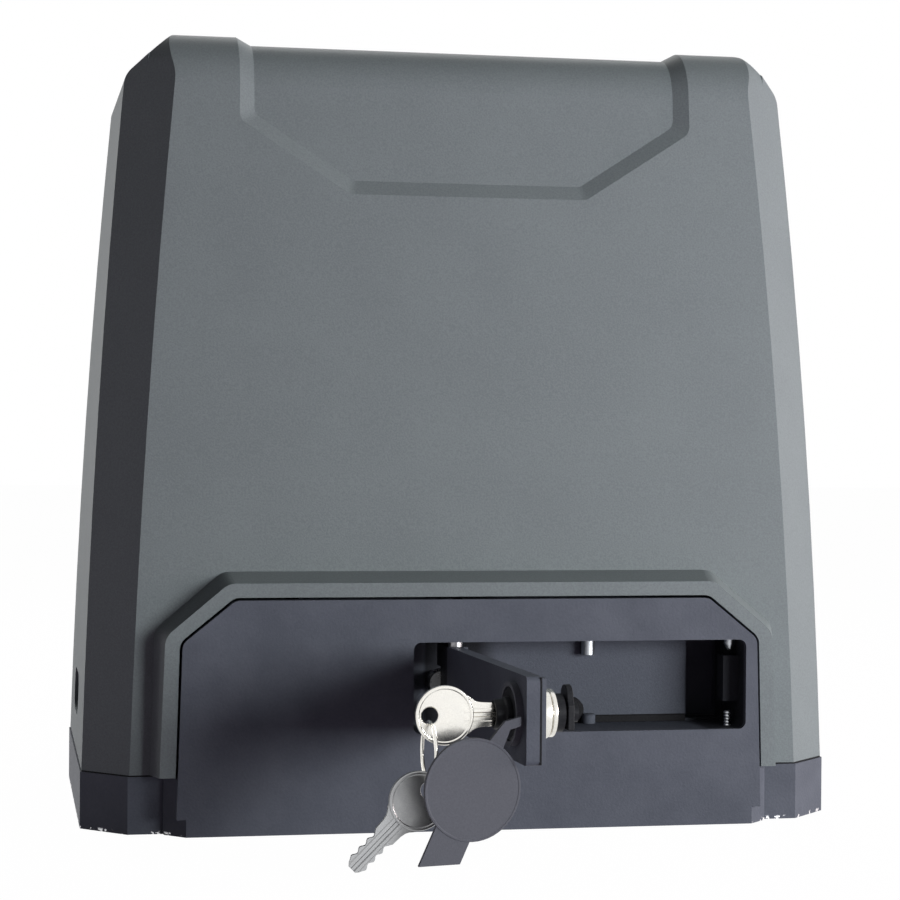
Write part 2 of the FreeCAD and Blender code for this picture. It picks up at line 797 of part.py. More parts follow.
def sunken_form(name, wall):
    """Cutter for the sunken panel that wraps over the top, or its inside set in by a wall."""
    top, bend_round = number(s.cover_height), number(s.top_round)
    depth, slope = number(s.sunk_depth), number(s.sunk_wall / s.sunk_depth)
    half, low_half = number(s.sunk_half), number(s.sunk_low_half)
    low, bend = top - number(s.sunk_fall), top - number(s.sunk_bend_fall)
    start = top - bend_round
    lean = (number(cover_deep(low)) - number(cover_deep(start))) / (start - low)
    across, along = math.cos(math.atan(lean)), math.sin(math.atan(lean))
    centre_y = number(cover_deep(start)) - bend_round * (1 + lean * lean / 2)
    far, drop = number(half_d) + 12, 75
    floor = depth + wall
    shift = wall * 0.2

    def side_view(x, inset):
        """The cover's front, top and back in one plane, closed outside the cover."""
        radius = bend_round - inset
        turn = math.pi / 4 + math.atan(lean) / 2
        front = [
            (centre_y + radius * across + drop * along, start + radius * along - drop * across),
            (centre_y + radius * across, start + radius * along),
            (centre_y + radius * math.cos(turn), start + radius * math.sin(turn)),
            (centre_y, start + radius),
        ]
        spots = [FreeCAD.Vector(x, -y, z) for y, z in front]
        spots += [FreeCAD.Vector(x, y, z) for y, z in reversed(front)]
        closing = [
            spots[7], FreeCAD.Vector(x, far, spots[7].z), FreeCAD.Vector(x, far, top + 12),
            FreeCAD.Vector(x, -far, top + 12), FreeCAD.Vector(x, -far, spots[0].z), spots[0],
        ]
        edges = [
            Part.makeLine(spots[0], spots[1]), Part.Arc(spots[1], spots[2], spots[3]).toShape(),
            Part.makeLine(spots[3], spots[4]), Part.Arc(spots[4], spots[5], spots[6]).toShape(),
            Part.makeLine(spots[6], spots[7]),
        ]
        edges += [Part.makeLine(a, b) for a, b in zip(closing, closing[1:])]
        return Part.Wire(edges)

    reach = half + shift + depth * 2 * slope
    channel = Part.makeLoft([
        side_view(-reach, floor - depth * 2), side_view(-half - shift, floor),
        side_view(half + shift, floor), side_view(reach, floor - depth * 2),
    ], True, True)

    def funnel(side):
        """The diagonals and the lower edge, sloped outward from the sunken floor."""
        run, rise = half - low_half, bend - low
        span = math.hypot(run, rise)
        high = 90
        wires = []
        for inward in (floor + 4, -9):
            grow = (floor - inward) * slope + shift
            corner = low_half + grow * (span - run) / rise
            wide = low_half + (grow * span + (high - low + bend) * run) / rise
            outline = [(-corner, low - grow), (corner, low - grow), (wide, bend + high), (-wide, bend + high)]
            wires.append(Part.makePolygon([
                FreeCAD.Vector(x, -inward * side, z - bend) for x, z in outline + outline[:1]
            ]))
        form = Part.makeLoft(wires, True, True)
        form.rotate(FreeCAD.Vector(), FreeCAD.Vector(1, 0, 0), math.degrees(math.atan(lean)) * side)
        form.translate(FreeCAD.Vector(0, number(cover_deep(bend)) * side, bend))
        return form

    crown = Part.makeBox(reach * 3, far * 2, 60, FreeCAD.Vector(-reach * 1.5, -far, start - 4))
    form = channel.common(funnel(-1).fuse([funnel(1), crown]))
    corners = []
    for edge in form.Edges:
        if len(edge.Vertexes) == 2:
            span = edge.Vertexes[1].Point - edge.Vertexes[0].Point
            if abs(span.x) > 0.5 and abs(span.y) > abs(span.x) * 0.3 and middle(edge).z < bend + 2:
                corners.append(edge)
    form = form.makeFillet(number(s.sunk_round), corners)
    return shaped(name, form)


def cover():
    low = s.plinth_height + s.part_gap
    outer = cover_loft("outer_form", 0, low)
    room = cover_loft("room_form", s.cover_wall, low - 9)
    rim_grow = s.rim_gap + s.rim_width
    rim_front = panel_y + s.rim_back
    rim = prism(
        "rim_form", "XZ_Plane", -rim_front, arch(rim_grow, foot=low), s.panel_proud + 12,
        back=True, taper=s.rim_flank,
    )
    round_arch(rim, s.panel_round + rim_grow * 0.5)
    rim_trim = box("rim_trim", (-half_w, -half_d - 20, low - 20), (s.base_width, 60, 20))
    hollow = cut(
        "hollow", room, sunken_form("room_sunken", number(s.cover_wall)),
        inner_shoulder("inner_shoulder_left", -1), inner_shoulder("inner_shoulder_right", 1),
    )
    mouth = prism("panel_mouth", "XZ_Plane", half_d + 30, arch(s.rim_gap, foot=0), 60, back=True)
    round_arch(mouth, s.panel_round + s.rim_gap)
    tail_hole = cylinder(
        "shaft_exit", 36, 60, (shaft_x, half_d - 30, s.shaft_height), "+Y"
    )
    recesses = []
    for side, label in ((-1, "left"), (1, "right")):
        pocket_x = half_w - s.recess_depth
        long = s.recess_length - s.recess_height
        axis = "-X" if side < 0 else "+X"
        for end in (-1, 1):
            recesses.append(cylinder(
                "recess_%s_%d" % (label, end), s.recess_height / 2, 30,
                (pocket_x * side, s.recess_y + long / 2 * end, s.recess_z), axis,
            ))
        start = pocket_x * side if side > 0 else pocket_x * side - 30
        recesses.append(box(
            "recess_%s_middle" % label, (start, s.recess_y - long / 2, s.recess_z - s.recess_height / 2),
            (30, long, s.recess_height),
        ))
        recesses.append(cylinder(
            "screw_hole_" + label, 3, 60, ((pocket_x - 20) * side, s.recess_y, s.recess_z), axis
        ))
    shell = cut("cover_shell", fuse("cover_solid", outer, rim), hollow)
    # pads behind the screw recesses keep the wall closed there
    seats = []
    for side, label in ((-1, "left"), (1, "right")):
        low_x = (half_w - s.recess_depth - s.cover_wall) * side
        start = low_x if side > 0 else low_x - (s.recess_depth + s.cover_wall - 2.5)
        seats.append(box(
            "recess_seat_" + label,
            (start, s.recess_y - s.recess_length / 2 - 3, s.recess_z - s.recess_height / 2 - 3),
            (s.recess_depth + s.cover_wall - 2.5, s.recess_length + 6, s.recess_height + 6),
        ))
    whole = fuse("cover_with_seats", shell, *seats)
    cover_piece = cut(
        "cover_piece", whole, sunken_form("sunken_panel", 0), mouth, rim_trim, tail_hole,
        shoulder("shoulder_left", -1), shoulder("shoulder_right", 1), *recesses,
    )
    return node(cover_piece, "cover")


def cover_fixings():
    """The two screws in the side recesses and the seal under the cover."""
    screws = []
    for side, label, axis in ((-1, "left", "-X"), (1, "right", "+X")):
        head_x = (half_w - s.recess_depth) * side
        screws.append(fuse(
            "cover_screw_" + label,
            cylinder("cover_screw_head_" + label, 5.5, 3, (head_x, s.recess_y, s.recess_z), axis),
            cylinder(
                "cover_screw_shank_" + label, 2.5, 16,
                (head_x - 15 * side, s.recess_y, s.recess_z), axis,
            ),
        ))
    node(group("cover_screw_pair", *screws), "cover_screws")
    outer = octagon(half_w - 0.6, half_d - 0.6, s.corner_chamfer)
    inner = octagon(half_w - s.plinth_wall, half_d - s.plinth_wall, s.corner_chamfer - s.plinth_wall * 0.6)
    seal = new_body("seal_body")
    pad(seal, "seal", "XY_Plane", s.plinth_height, outer, s.part_gap)
    pocket(seal, "seal_inside", "XY_Plane", s.plinth_height - 1, inner, 9, back=True)
    # the seal stops either side of the front panel
    gap = [
        (-s.panel_foot_half - 2, -half_d - 5), (s.panel_foot_half + 2, -half_d - 5),
        (s.panel_foot_half + 2, -half_d + s.plinth_wall + 2),
        (-s.panel_foot_half - 2, -half_d + s.plinth_wall + 2),
    ]
    pocket(seal, "seal_gap", "XY_Plane", s.plinth_height - 1, gap, 9, back=True)
    node(seal, "cover_seal")


# ---------------------------------------------------------------- release lever, lock and keys

def involute_cam():
    """Cam whose reach to a flat follower grows evenly with the turn."""
    closed = number(s.cam_closed)
    rate = number(cam_rate)
    sweep = math.radians(number(s.lever_open))
    rim = []
    for step in range(13):
        turn = math.pi / 2 + sweep * step / 12
        reach = closed + rate * sweep * step / 12
        rim.append(FreeCAD.Vector(
            reach * math.cos(turn) - rate * math.sin(turn),
            reach * math.sin(turn) + rate * math.cos(turn), 0,
        ))
    curve = Part.BSplineCurve()
    curve.interpolate(rim)
    start, end = rim[0], rim[-1]
    low = -number(s.lever_thick + s.skin_thick) / 2
    corners = [end, FreeCAD.Vector(end.x, low, 0), FreeCAD.Vector(0, low, 0),
               FreeCAD.Vector(0, start.y, 0), start]
    edges = [curve.toShape()]
    edges += [Part.makeLine(a, b) for a, b in zip(corners, corners[1:])]
    return Part.Face(Part.Wire(edges))


def release_lever():
    thick = lever_full / 2
    low, high = s.lever_low, s.lever_high
    body = new_body("lever_body")
    # outer casting, drawn shut: pin at the origin, outer face towards -Y
    outline = [
        (-s.lever_stub, -thick), (s.lever_length, -thick),
        (s.lever_length, thick - s.skin_thick), (6, thick - s.skin_thick),
        (6, thick), (-s.lever_stub, thick),
    ]
    pad(body, "lever", "XY_Plane", low, outline, high - low)
    soften(
        body, "lever_corners", "Fillet", 2,
        lambda e: runs_along(e, "y") and abs(middle(e).x - number(s.lever_length)) < 0.01,
    )
    lever = cut(
        "lever_drilled", body,
        cylinder("lever_pin_bore", s.pin_diameter / 2 + s.fit_gap, high - low + 4, (0, 0, low - 2)),
        cylinder(
            "lever_lock_bore", s.lock_barrel / 2, lever_full + 4,
            (s.lock_at, -thick - 2, s.lock_height), "+Y",
        ),
    )
    cam_height = 14
    cam = involute_cam().extrude(FreeCAD.Vector(0, 0, cam_height))
    cam_piece = shaped("release_cam", cam, (0, 0, s.shaft_height - cam_height / 2))
    room = box(
        "cam_room", (-s.lever_stub - 1, -thick - 1, s.shaft_height - cam_height / 2),
        (s.lever_stub + 1, lever_full + 2, cam_height),
    )
    pin_clear = cylinder("cam_pin_bore", s.pin_diameter / 2 + s.fit_gap, high - low, (0, 0, low))
    lever = cut("lever_with_cam", fuse("lever_joined", cut("lever_open", lever, room), cam_piece), pin_clear)
    node(lever_frame(lever), "release_lever")

    skin = prism(
        "lever_skin_body", "XY_Plane", low + 0.8,
        [(6.3, thick - s.skin_thick + 0.02), (s.lever_length - 0.8, thick - s.skin_thick + 0.02),
         (s.lever_length - 0.8, thick), (6.3, thick)],
        high - low - 1.6,
    )
    skin = cut("lever_skin", skin, cylinder(
        "skin_lock_bore", s.lock_barrel / 2, 20, (s.lock_at, 0, s.lock_height), "+Y"
    ))
    node(lever_frame(skin), "lever_back_plate")
    node(
        cylinder(
            "pin", s.pin_diameter / 2, s.mouth_high - s.mouth_low + 16,
            (s.lever_pivot_x, pivot_y, s.mouth_low - 8),
        ),
        "lever_pin",
    )


def lock():
    thick = lever_full / 2
    spot = (s.lock_at, 0, s.lock_height)
    radius = s.lock_barrel / 2
    reach = thick + s.lock_reach
    front = -thick - s.lock_flange_thick
    barrel = turned("lock_barrel", [
        (s.plug_diameter / 2 + s.fit_gap, front), (s.lock_flange / 2 - 0.8, front),
        (s.lock_flange / 2, front + 0.8), (s.lock_flange / 2, -thick),
        (radius, -thick), (radius, reach), (s.plug_diameter / 2 + s.fit_gap, reach),
    ], spot, "+Y")
    node(lever_frame(group("lock_barrel_placed", barrel)), "lock_body")
    nut = turned("lock_nut_form", [
        (radius, thick), (s.nut_diameter / 2, thick), (s.nut_diameter / 2, thick + s.nut_thick),
        (radius, thick + s.nut_thick),
    ], spot, "+Y")
    washer = turned("lock_washer_form", [
        (radius, thick + s.nut_thick), (s.nut_diameter / 2 + 0.4, thick + s.nut_thick),
        (s.nut_diameter / 2 + 0.4, thick + s.nut_thick + 1.6), (radius, thick + s.nut_thick + 1.6),
    ], spot, "+Y")
    node(lever_frame(group("lock_nut_placed", nut)), "lock_nut")
    node(lever_frame(group("lock_ring_placed", washer)), "lock_lock_ring")

    plug = cylinder("plug_core", s.plug_diameter / 2, reach + 1 - front, (s.lock_at, front, s.lock_height), "+Y")
    slot_high = s.key_blade + 0.4
    keyway = box(
        "keyway", (s.lock_at - s.key_thick / 2 - 0.2, front - 1, s.lock_height - slot_high / 2),
        (s.key_thick + 0.4, reach - front - 3, slot_high),
    )
    screw_hole = cylinder("plug_screw_hole", 2, 9, (s.lock_at, reach - 2, s.lock_height), "+Y")
    node(lever_frame(cut("plug_cut", plug, keyway, screw_hole)), "lock_plug")
    # tongue up when unlocked
    tongue = prism(
        "tongue_body", "XZ_Plane", -(reach + 1),
        [(-6, -6), (6, -6), (6, 4), (4.5, 14.5), (-4.5, 14.5), (-6, 4)], 2.5, back=True,
    )
    put(tongue, (s.lock_at, 0, s.lock_height))
    tongue = cut("tongue", group("tongue_solid", tongue), cylinder(
        "tongue_bore", 2, 20, (s.lock_at, reach - 5, s.lock_height), "+Y"
    ))
    node(lever_frame(tongue), "lock_tongue")
    screw = fuse(
        "tongue_screw_form",
        cylinder("tongue_screw_head", 3.6, 2.4, (s.lock_at, reach + 3.5, s.lock_height), "+Y"),
        cylinder("tongue_screw_shank", 2, 5.5, (s.lock_at, reach - 2, s.lock_height), "+Y"),
    )
    node(lever_frame(screw), "tongue_screw")


def key_form(name):
    """A key drawn with its bow at the origin and its blade along +Y, flat across X."""
    half = s.key_thick / 2
    bow = cylinder(name + "_bow", s.key_bow / 2, s.key_thick, (-half, 0, 0), "+X")
    flare, collar = s.key_bow * 0.38, s.key_blade / 2 + 1.4
    neck = prism(name + "_neck", "YZ_Plane", -half, [
        (s.key_bow * 0.3, -flare), (s.key_bow * 0.62, -collar), (s.key_bow * 0.74, -collar),
        (s.key_bow * 0.74, collar), (s.key_bow * 0.62, collar), (s.key_bow * 0.3, flare),
    ], s.key_thick)
    blade = box(name + "_blade", (-half, 0, -s.key_blade / 2), (s.key_thick, s.key_reach - 3, s.key_blade))
    tip = box(name + "_tip", (-half, 0, -s.key_blade / 4), (s.key_thick, s.key_reach, s.key_blade / 2))
    hole = cylinder(name + "_hole", s.key_hole / 2, 20, (-10, -s.key_hole_out, 0), "+X")
    groove = s.key_thick * 0.2
    cuts = [
        box(
            "%s_groove_%d" % (name, side + 1), (half * side - groove, s.key_bow * 0.8, -0.6),
            (groove * 2, s.key_reach, 1.6),
        )
        for side in (-1, 1)
    ]
    for step, depth in enumerate((1.6, 1.0, 2.0, 1.3)):
        for side in (-1, 1):
            low = -s.key_blade / 2 - 2 + depth if side < 0 else s.key_blade / 2 - depth
            cuts.append(box(
                "%s_cut_%d_%d" % (name, step, side + 1), (-10, s.key_bow / 2 + 7 + step * 4.2, low), (20, 2, 2)
            ))
    return cut(name + "_form", fuse(name + "_solid", bow, neck, blade, tip), hole, *cuts)


def keys():
    thick = lever_full / 2
    bow_y = -thick - s.key_bow_out
    key = key_form("key")
    key.Placement = FreeCAD.Placement()
    put(key, (s.lock_at, bow_y, s.lock_height))
    node(lever_frame(group("key_placed", key)), "key")
    hole_y = bow_y - s.key_hole_out
    wire = s.ring_wire / 2
    top = s.lock_height - s.key_hole / 2 + wire + 0.05
    ring = doc.addObject("Part::Torus", "ring_wire")
    bind(ring, "Radius1", s.ring_radius)
    bind(ring, "Radius2", wire)
    point_along(ring, "+Y")
    # the ring hangs in the plane across the key's flat faces
    ring.Placement = FreeCAD.Placement(FreeCAD.Vector(), FreeCAD.Rotation(FreeCAD.Vector(1, 0, 0), 90))
    put(ring, (s.lock_at, hole_y, top - s.ring_radius))
    node(lever_frame(group("ring_placed", ring)), "key_ring")
    low = top - s.ring_radius * 2
    spare = key_form("spare")
    hole_z = low + wire + 0.05 - s.key_hole / 2
    tilt = math.radians(180 + number(s.spare_tilt))
    spare_rotation = FreeCAD.Rotation(FreeCAD.Vector(1, 0, 0), 180 + number(s.spare_tilt))
    spare.Placement = FreeCAD.Placement(FreeCAD.Vector(), spare_rotation)
    turn = "(180 + %s) * 1deg" % s.spare_tilt.text
    along_y = Term("cos(%s)" % turn, math.cos(tilt))
    along_z = Term("sin(%s)" % turn, math.sin(tilt))
    put(spare, (s.lock_at, hole_y + s.key_hole_out * along_y, hole_z + s.key_hole_out * along_z))
    node(lever_frame(group("spare_placed", spare)), "spare_key")


def keyhole_cap():
    """Rubber dust cap: a ring under the lock flange, and the strap, disc and pull tab that hang from it."""
    thick = lever_full / 2
    ring = tube(
        "cap_ring_form", s.lock_flange / 2 + 1.6, s.lock_flange / 2 + 0.05, s.cap_thick,
        (s.lock_at, -thick - s.cap_thick, s.lock_height), "+Y",
    )
    node(lever_frame(group("cap_ring_placed", ring)), "keyhole_cap_ring")
    plane = s.lock_at + s.lock_flange / 2 + 1.8
    # the disc hangs just clear of the panel when the lever is shut
    disc_y = -s.lever_pivot_in - 0.3 - s.cap_disc / 2
    disc_z = s.lock_height - 26.2
    disc = cylinder("cap_disc_form", s.cap_disc / 2, s.cap_thick, (plane, disc_y, disc_z), "+X")
    strap = prism(
        "cap_strap", "YZ_Plane", plane,
        [(disc_y + 4, disc_z + 12), (disc_y + 11.5, disc_z + 9), (-thick - 0.4, s.lock_height - 7),
         (-thick - 0.4, s.lock_height + 2), (-thick - 5.5, s.lock_height - 3)],
        s.cap_thick,
    )
    tab = prism(
        "cap_tab", "YZ_Plane", plane,
        [(disc_y - 14, disc_z - 8), (disc_y - 20, 2.2), (disc_y - 4.5, 2.2), (disc_y + 5, disc_z - 16)],
        s.cap_thick,
    )
    node(lever_frame(fuse("cap_flap", disc, strap, tab)), "keyhole_cap")


# ---------------------------------------------------------------- release train on the output shaft

def release_train():
    axis_z = s.shaft_height
    radius = s.shaft_diameter / 2
    pin_r = 3
    wheel_back = s.wheel_y + s.wheel_face / 2
    dog = s.cam_stroke - 1.6
    engaged = wheel_back - dog + 0.3
    released = engaged + s.cam_stroke
    cam_tip = pivot_y + s.cam_closed + s.cam_stroke + 0.1
    pin_y = released + dog + 6
    rod_end = pin_y - pin_r - 0.05
    rod = turned("rod_form", [
        (0, 0), (5, 0), (6, 1), (6, 3), (s.rod_diameter / 2, 3),
        (s.rod_diameter / 2, rod_end - cam_tip), (0, rod_end - cam_tip),
    ], (shaft_x, cam_tip, axis_z), "+Y")
    node(group("rod_placed", rod), "release_rod")

    collar_r = 24
    collar = tube("collar_ring", collar_r, radius + s.fit_gap, 13, (shaft_x, released + dog, axis_z), "+Y")
    teeth = [
        sector("collar_dog_%d" % i, radius + 3.5, collar_r, 45 + i * 90, 36, released, dog + 0.5)
        for i in range(4)
    ]
    cross_hole = cylinder("collar_pin_hole", pin_r, 60, (shaft_x - 30, pin_y, axis_z), "+X")
    node(cut("collar", fuse("collar_solid", collar, *teeth), cross_hole), "clutch_collar")
    node(
        cylinder("cross_pin_form", pin_r, collar_r * 2 - 1, (shaft_x - collar_r + 0.5, pin_y, axis_z), "+X"),
        "clutch_cross_pin",
    )

    # output shaft: bored from the front for the rod, slotted for the cross pin
    front = case_y + s.case_wall + 4
    shaft_end = half_d + s.pinion_gap + s.pinion_face - 1.5
    shaft = turned("shaft_form", [
        (0, front), (10, front), (10, front + 12.1), (radius, front + 12.1), (radius, shaft_end - 1),
        (radius - 1, shaft_end), (0, shaft_end),
    ], (shaft_x, 0, axis_z), "+Y")
    bore = cylinder(
        "shaft_bore", s.rod_diameter / 2 + s.fit_gap, pin_y + 14 - front + 2, (shaft_x, front - 2, axis_z), "+Y"
    )
    slot_low = pin_y - s.cam_stroke - pin_r - 0.6
    slot = box("shaft_slot", (shaft_x - 20, slot_low, axis_z - pin_r - 0.1),
               (40, s.cam_stroke + pin_r * 2 + 1.2, pin_r * 2 + 0.2))
    tapped = cylinder("shaft_tapped", 4, 30, (shaft_x, shaft_end - 22, axis_z), "+Y")
    keyway = box("shaft_keyway", (shaft_x - 4, half_d + s.pinion_gap + 2, axis_z + radius - 4),
                 (8, s.pinion_face - 4, 9))
    node(cut("shaft", shaft, bore, slot, tapped, keyway), "output_shaft")

    spring_low = released + dog + 13
    shoulder_y = case_back - 34
    node(
        tube("spring_form", radius + 4, radius + 1, shoulder_y - 4 - spring_low, (shaft_x, spring_low, axis_z), "+Y"),
        "clutch_spring",
    )
    # bearings, spacer and seal
    node(bearing("front_bearing_form", 10 + s.fit_gap, 21, 12, (shaft_x, front, axis_z), "+Y"), "front_bearing")
    node(bearing("rear_bearing_form", radius + s.fit_gap, 26, 15, (shaft_x, case_back - 24, axis_z), "+Y"), "rear_bearing")
    node(turned("rear_spacer_form", [
        (radius, -4), (radius + 7, -4), (radius + 7, 0), (radius + 3.5, 0), (radius + 3.5, 9.9), (radius, 9.9),
    ], (shaft_x, case_back - 34, axis_z), "+Y"), "rear_spacer")
    node(
        tube("front_spacer_form", radius + 3.5, radius, s.wheel_y - s.wheel_face / 2 - 0.4 - front - 12,
             (shaft_x, front + 12.1, axis_z), "+Y"),
        "front_spacer",
    )
    node(
        tube("seal_form", 26, radius + s.fit_gap, 7, (shaft_x, half_d - 9, axis_z), "+Y"),
        "shaft_seal",
    )


def sector(name, inner, outer, middle_angle, width, low, long):
    """A dog of a clutch: part of a ring round the output shaft."""
    a, b = math.radians(middle_angle - width / 2), math.radians(middle_angle + width / 2)
    ring = Part.makeCylinder(number(outer), number(long)).cut(Part.makeCylinder(number(inner), number(long)))
    reach = number(outer) * 2
    wedge = Part.Face(Part.makePolygon([
        FreeCAD.Vector(0, 0, 0), FreeCAD.Vector(reach * math.cos(a), reach * math.sin(a), 0),
        FreeCAD.Vector(reach * math.cos(b), reach * math.sin(b), 0), FreeCAD.Vector(0, 0, 0),
    ])).extrude(FreeCAD.Vector(0, 0, number(long)))
    return shaped(name, ring.common(wedge), (shaft_x, low, s.shaft_height), "+Y")


def bearing(name, inner, outer, long, at, axis):
    """A sealed ball bearing drawn closed: two races with a shield between them."""
    race = (outer - inner) * 0.28
    profile = [
        (inner, 0), (inner + race, 0), (inner + race, 0.8), (outer - race, 0.8), (outer - race, 0),
        (outer, 0), (outer, long), (outer - race, long), (outer - race, long - 0.8),
        (inner + race, long - 0.8), (inner + race, long), (inner, long),
    ]
    return turned(name, profile, at, axis)


# ---------------------------------------------------------------- gears

def gear_face(teeth, module, share=0.5, addendum=1.0, dedendum=1.2, steps=4):
    """A spur gear's outline with involute flanks, as a face in XY."""
    pitch = module * teeth / 2
    base = pitch * math.cos(math.radians(20))
    tip = pitch + module * addendum
    root = pitch - module * dedendum
    def spread(radius):
        if radius <= base:
            return 0.0
        turn = math.acos(base / radius)
        return math.tan(turn) - turn
    half_pitch_angle = math.pi * share / teeth
    points = []
    for tooth in range(teeth):
        centre = 2 * math.pi * tooth / teeth
        flank = []
        low = max(root, base)
        for step in range(steps + 1):
            radius = low + (tip - low) * step / steps
            flank.append((radius, half_pitch_angle + spread(pitch) - spread(radius)))
        if root < low:
            flank.insert(0, (root, flank[0][1] + 0.01))
        points += [(r, centre - a) for r, a in flank] + [(r, centre + a) for r, a in reversed(flank)]
    spots = [FreeCAD.Vector(r * math.cos(a), r * math.sin(a), 0) for r, a in points]
    return Part.Face(Part.makePolygon(spots + spots[:1]))


def output_pinion():
    module = number(s.pinion_module)
    radius = number(s.shaft_diameter) / 2
    face = gear_face(int(number(s.pinion_teeth)), module, share=0.48)
    gear = face.extrude(FreeCAD.Vector(0, 0, number(s.pinion_face)))
    gear = gear.cut(Part.makeCylinder(radius, number(s.pinion_face)))
    key_box = Part.makeBox(8, 3.7, number(s.pinion_face), FreeCAD.Vector(-4, radius - 1, 0))
    start = half_d + s.pinion_gap
    at = (shaft_x, start, s.shaft_height)
    # along +Y the drawn +Y side of the gear turns down, so the keyway is cut on the drawn -Y side
    gear = gear.cut(key_box.mirror(FreeCAD.Vector(), FreeCAD.Vector(0, 1, 0)))
    node(shaped("pinion_form", gear, at, "+Y"), "output_pinion")
    node(
        box("pinion_key_form", (shaft_x - 4, start + 2, s.shaft_height + radius - 4), (8, s.pinion_face - 4, 6.5)),
        "pinion_key",
    )
    node(
        tube("pinion_washer_form", 17, 4.2, 2.5, (shaft_x, start + s.pinion_face, s.shaft_height), "+Y"),
        "pinion_washer",
    )
    bolt = fuse(
        "pinion_bolt_form",
        prism_hex("pinion_bolt_head", 6.5, 5.3, (shaft_x, start + s.pinion_face + 2.5, s.shaft_height), "+Y"),
        cylinder("pinion_bolt_shank", 4, 20, (shaft_x, start + s.pinion_face - 17, s.shaft_height), "+Y"),
    )
    node(bolt, "pinion_bolt")
    node(
        tube("pinion_collar_form", 16.5, radius, s.pinion_gap + 1.9, (shaft_x, half_d - 1.9, s.shaft_height), "+Y"),
        "pinion_spacer",
    )


def prism_hex(name, half_flats, long, at, axis):
    """A hexagon bolt head."""
    reach = number(half_flats) / math.cos(math.pi / 6)
    spots = [
        FreeCAD.Vector(reach * math.cos(i * math.pi / 3), reach * math.sin(i * math.pi / 3), 0)
        for i in range(6)
    ]
    head = Part.Face(Part.makePolygon(spots + spots[:1])).extrude(FreeCAD.Vector(0, 0, number(long)))
    return shaped(name, head, at, axis)


def worm_and_wheel():
    module = number(s.wheel_module)
    teeth = int(number(s.wheel_teeth))
    radius = number(wheel_radius)
    width = number(s.wheel_face)
    worm_r = number(s.worm_pitch_radius)
    lead = math.pi * module
    slope = -math.degrees(math.atan(lead / (2 * math.pi * worm_r)))
    start = s.wheel_y - s.wheel_face / 2
    # wheel: a bronze rim gashed at the worm's lead angle, on a steel hub that carries the dogs
    rim = Part.makeCylinder(radius + module, width).cut(Part.makeCylinder(radius - module * 3.2, width))
    throat = Part.makeTorus(radius + worm_r, worm_r - module * 1.0)
    throat.translate(FreeCAD.Vector(0, 0, width / 2))
    rim = rim.cut(throat)
    half_low, half_high = lead * 0.14, lead * 0.40
    gash = Part.Face(Part.makePolygon([
        FreeCAD.Vector(radius - module * 1.2, -half_low, -width), FreeCAD.Vector(radius - module * 1.2, half_low, -width),
        FreeCAD.Vector(radius + module * 1.2, half_high, -width), FreeCAD.Vector(radius + module * 1.2, -half_high, -width),
        FreeCAD.Vector(radius - module * 1.2, -half_low, -width),
    ])).extrude(FreeCAD.Vector(0, 0, width * 2))
    gash.rotate(FreeCAD.Vector(radius, 0, 0), FreeCAD.Vector(1, 0, 0), slope)
    gash.translate(FreeCAD.Vector(0, 0, width / 2))
    gashes = []
    for tooth in range(teeth):
        copy = gash.copy()
        copy.rotate(FreeCAD.Vector(), FreeCAD.Vector(0, 0, 1), 360.0 * tooth / teeth)
        gashes.append(copy)
    rim = rim.cut(gashes)
    node(shaped("wheel_rim_form", rim, (shaft_x, start, s.shaft_height), "+Y"), "worm_wheel_rim")
    dog = s.cam_stroke - 1.6
    hub = turned("wheel_hub_form", [
        (s.shaft_diameter / 2 + s.fit_gap, 0), (20, 0), (20, 5), (wheel_radius - s.wheel_module * 3.2, 5),
        (wheel_radius - s.wheel_module * 3.2, s.wheel_face - 5), (26, s.wheel_face - 5), (26, s.wheel_face - dog),
        (s.shaft_diameter / 2 + s.fit_gap, s.wheel_face - dog),
    ], (shaft_x, start, s.shaft_height), "+Y")
    teeth_pieces = [
        sector("wheel_dog_%d" % i, s.shaft_diameter / 2 + 3.5, 24, i * 90, 40,
               start + s.wheel_face - dog - 0.5, dog + 0.5)
        for i in range(4)
    ]
    node(fuse("wheel_hub", hub, *teeth_pieces), "worm_wheel_hub")

    # worm: a single-start thread on the lower end of the motor shaft
    long = number(s.worm_length)
    helix = Part.makeHelix(lead, long + lead, worm_r)
    root_r = worm_r - module * 1.15
    half_root, half_tip = lead * 0.33, lead * 0.13
    profile = Part.makePolygon([
        FreeCAD.Vector(root_r - 0.3, 0, -half_root), FreeCAD.Vector(worm_r + module * 0.95, 0, -half_tip),
        FreeCAD.Vector(worm_r + module * 0.95, 0, half_tip), FreeCAD.Vector(root_r - 0.3, 0, half_root),
        FreeCAD.Vector(root_r - 0.3, 0, -half_root),
    ])
    thread = Part.Wire(helix.Edges).makePipeShell([profile], True, True)
    core = Part.makeCylinder(root_r, long + lead * 2, FreeCAD.Vector(0, 0, -lead / 2))
    worm = core.fuse(thread)
    worm.translate(FreeCAD.Vector(0, 0, -lead / 2))
    # turned so that a thread meets the wheel's gap level with the output shaft
    worm.rotate(FreeCAD.Vector(), FreeCAD.Vector(0, 0, 1), -360 * (long / 2 / lead))
    worm = worm.common(Part.makeCylinder(worm_r * 2, long))

    # shaft with the worm, up through the motor
    shaft_r = s.motor_shaft / 2
    thread_low = s.shaft_height - s.worm_length / 2
    shaft = cylinder("motor_shaft_form", shaft_r, shaft_top - s.worm_foot, (worm_x, s.wheel_y, s.worm_foot))
    thread_piece = shaped("worm_thread", worm, (worm_x, s.wheel_y, thread_low))
    node(fuse("motor_shaft_solid", shaft, thread_piece), "motor_shaft")


# ---------------------------------------------------------------- motor

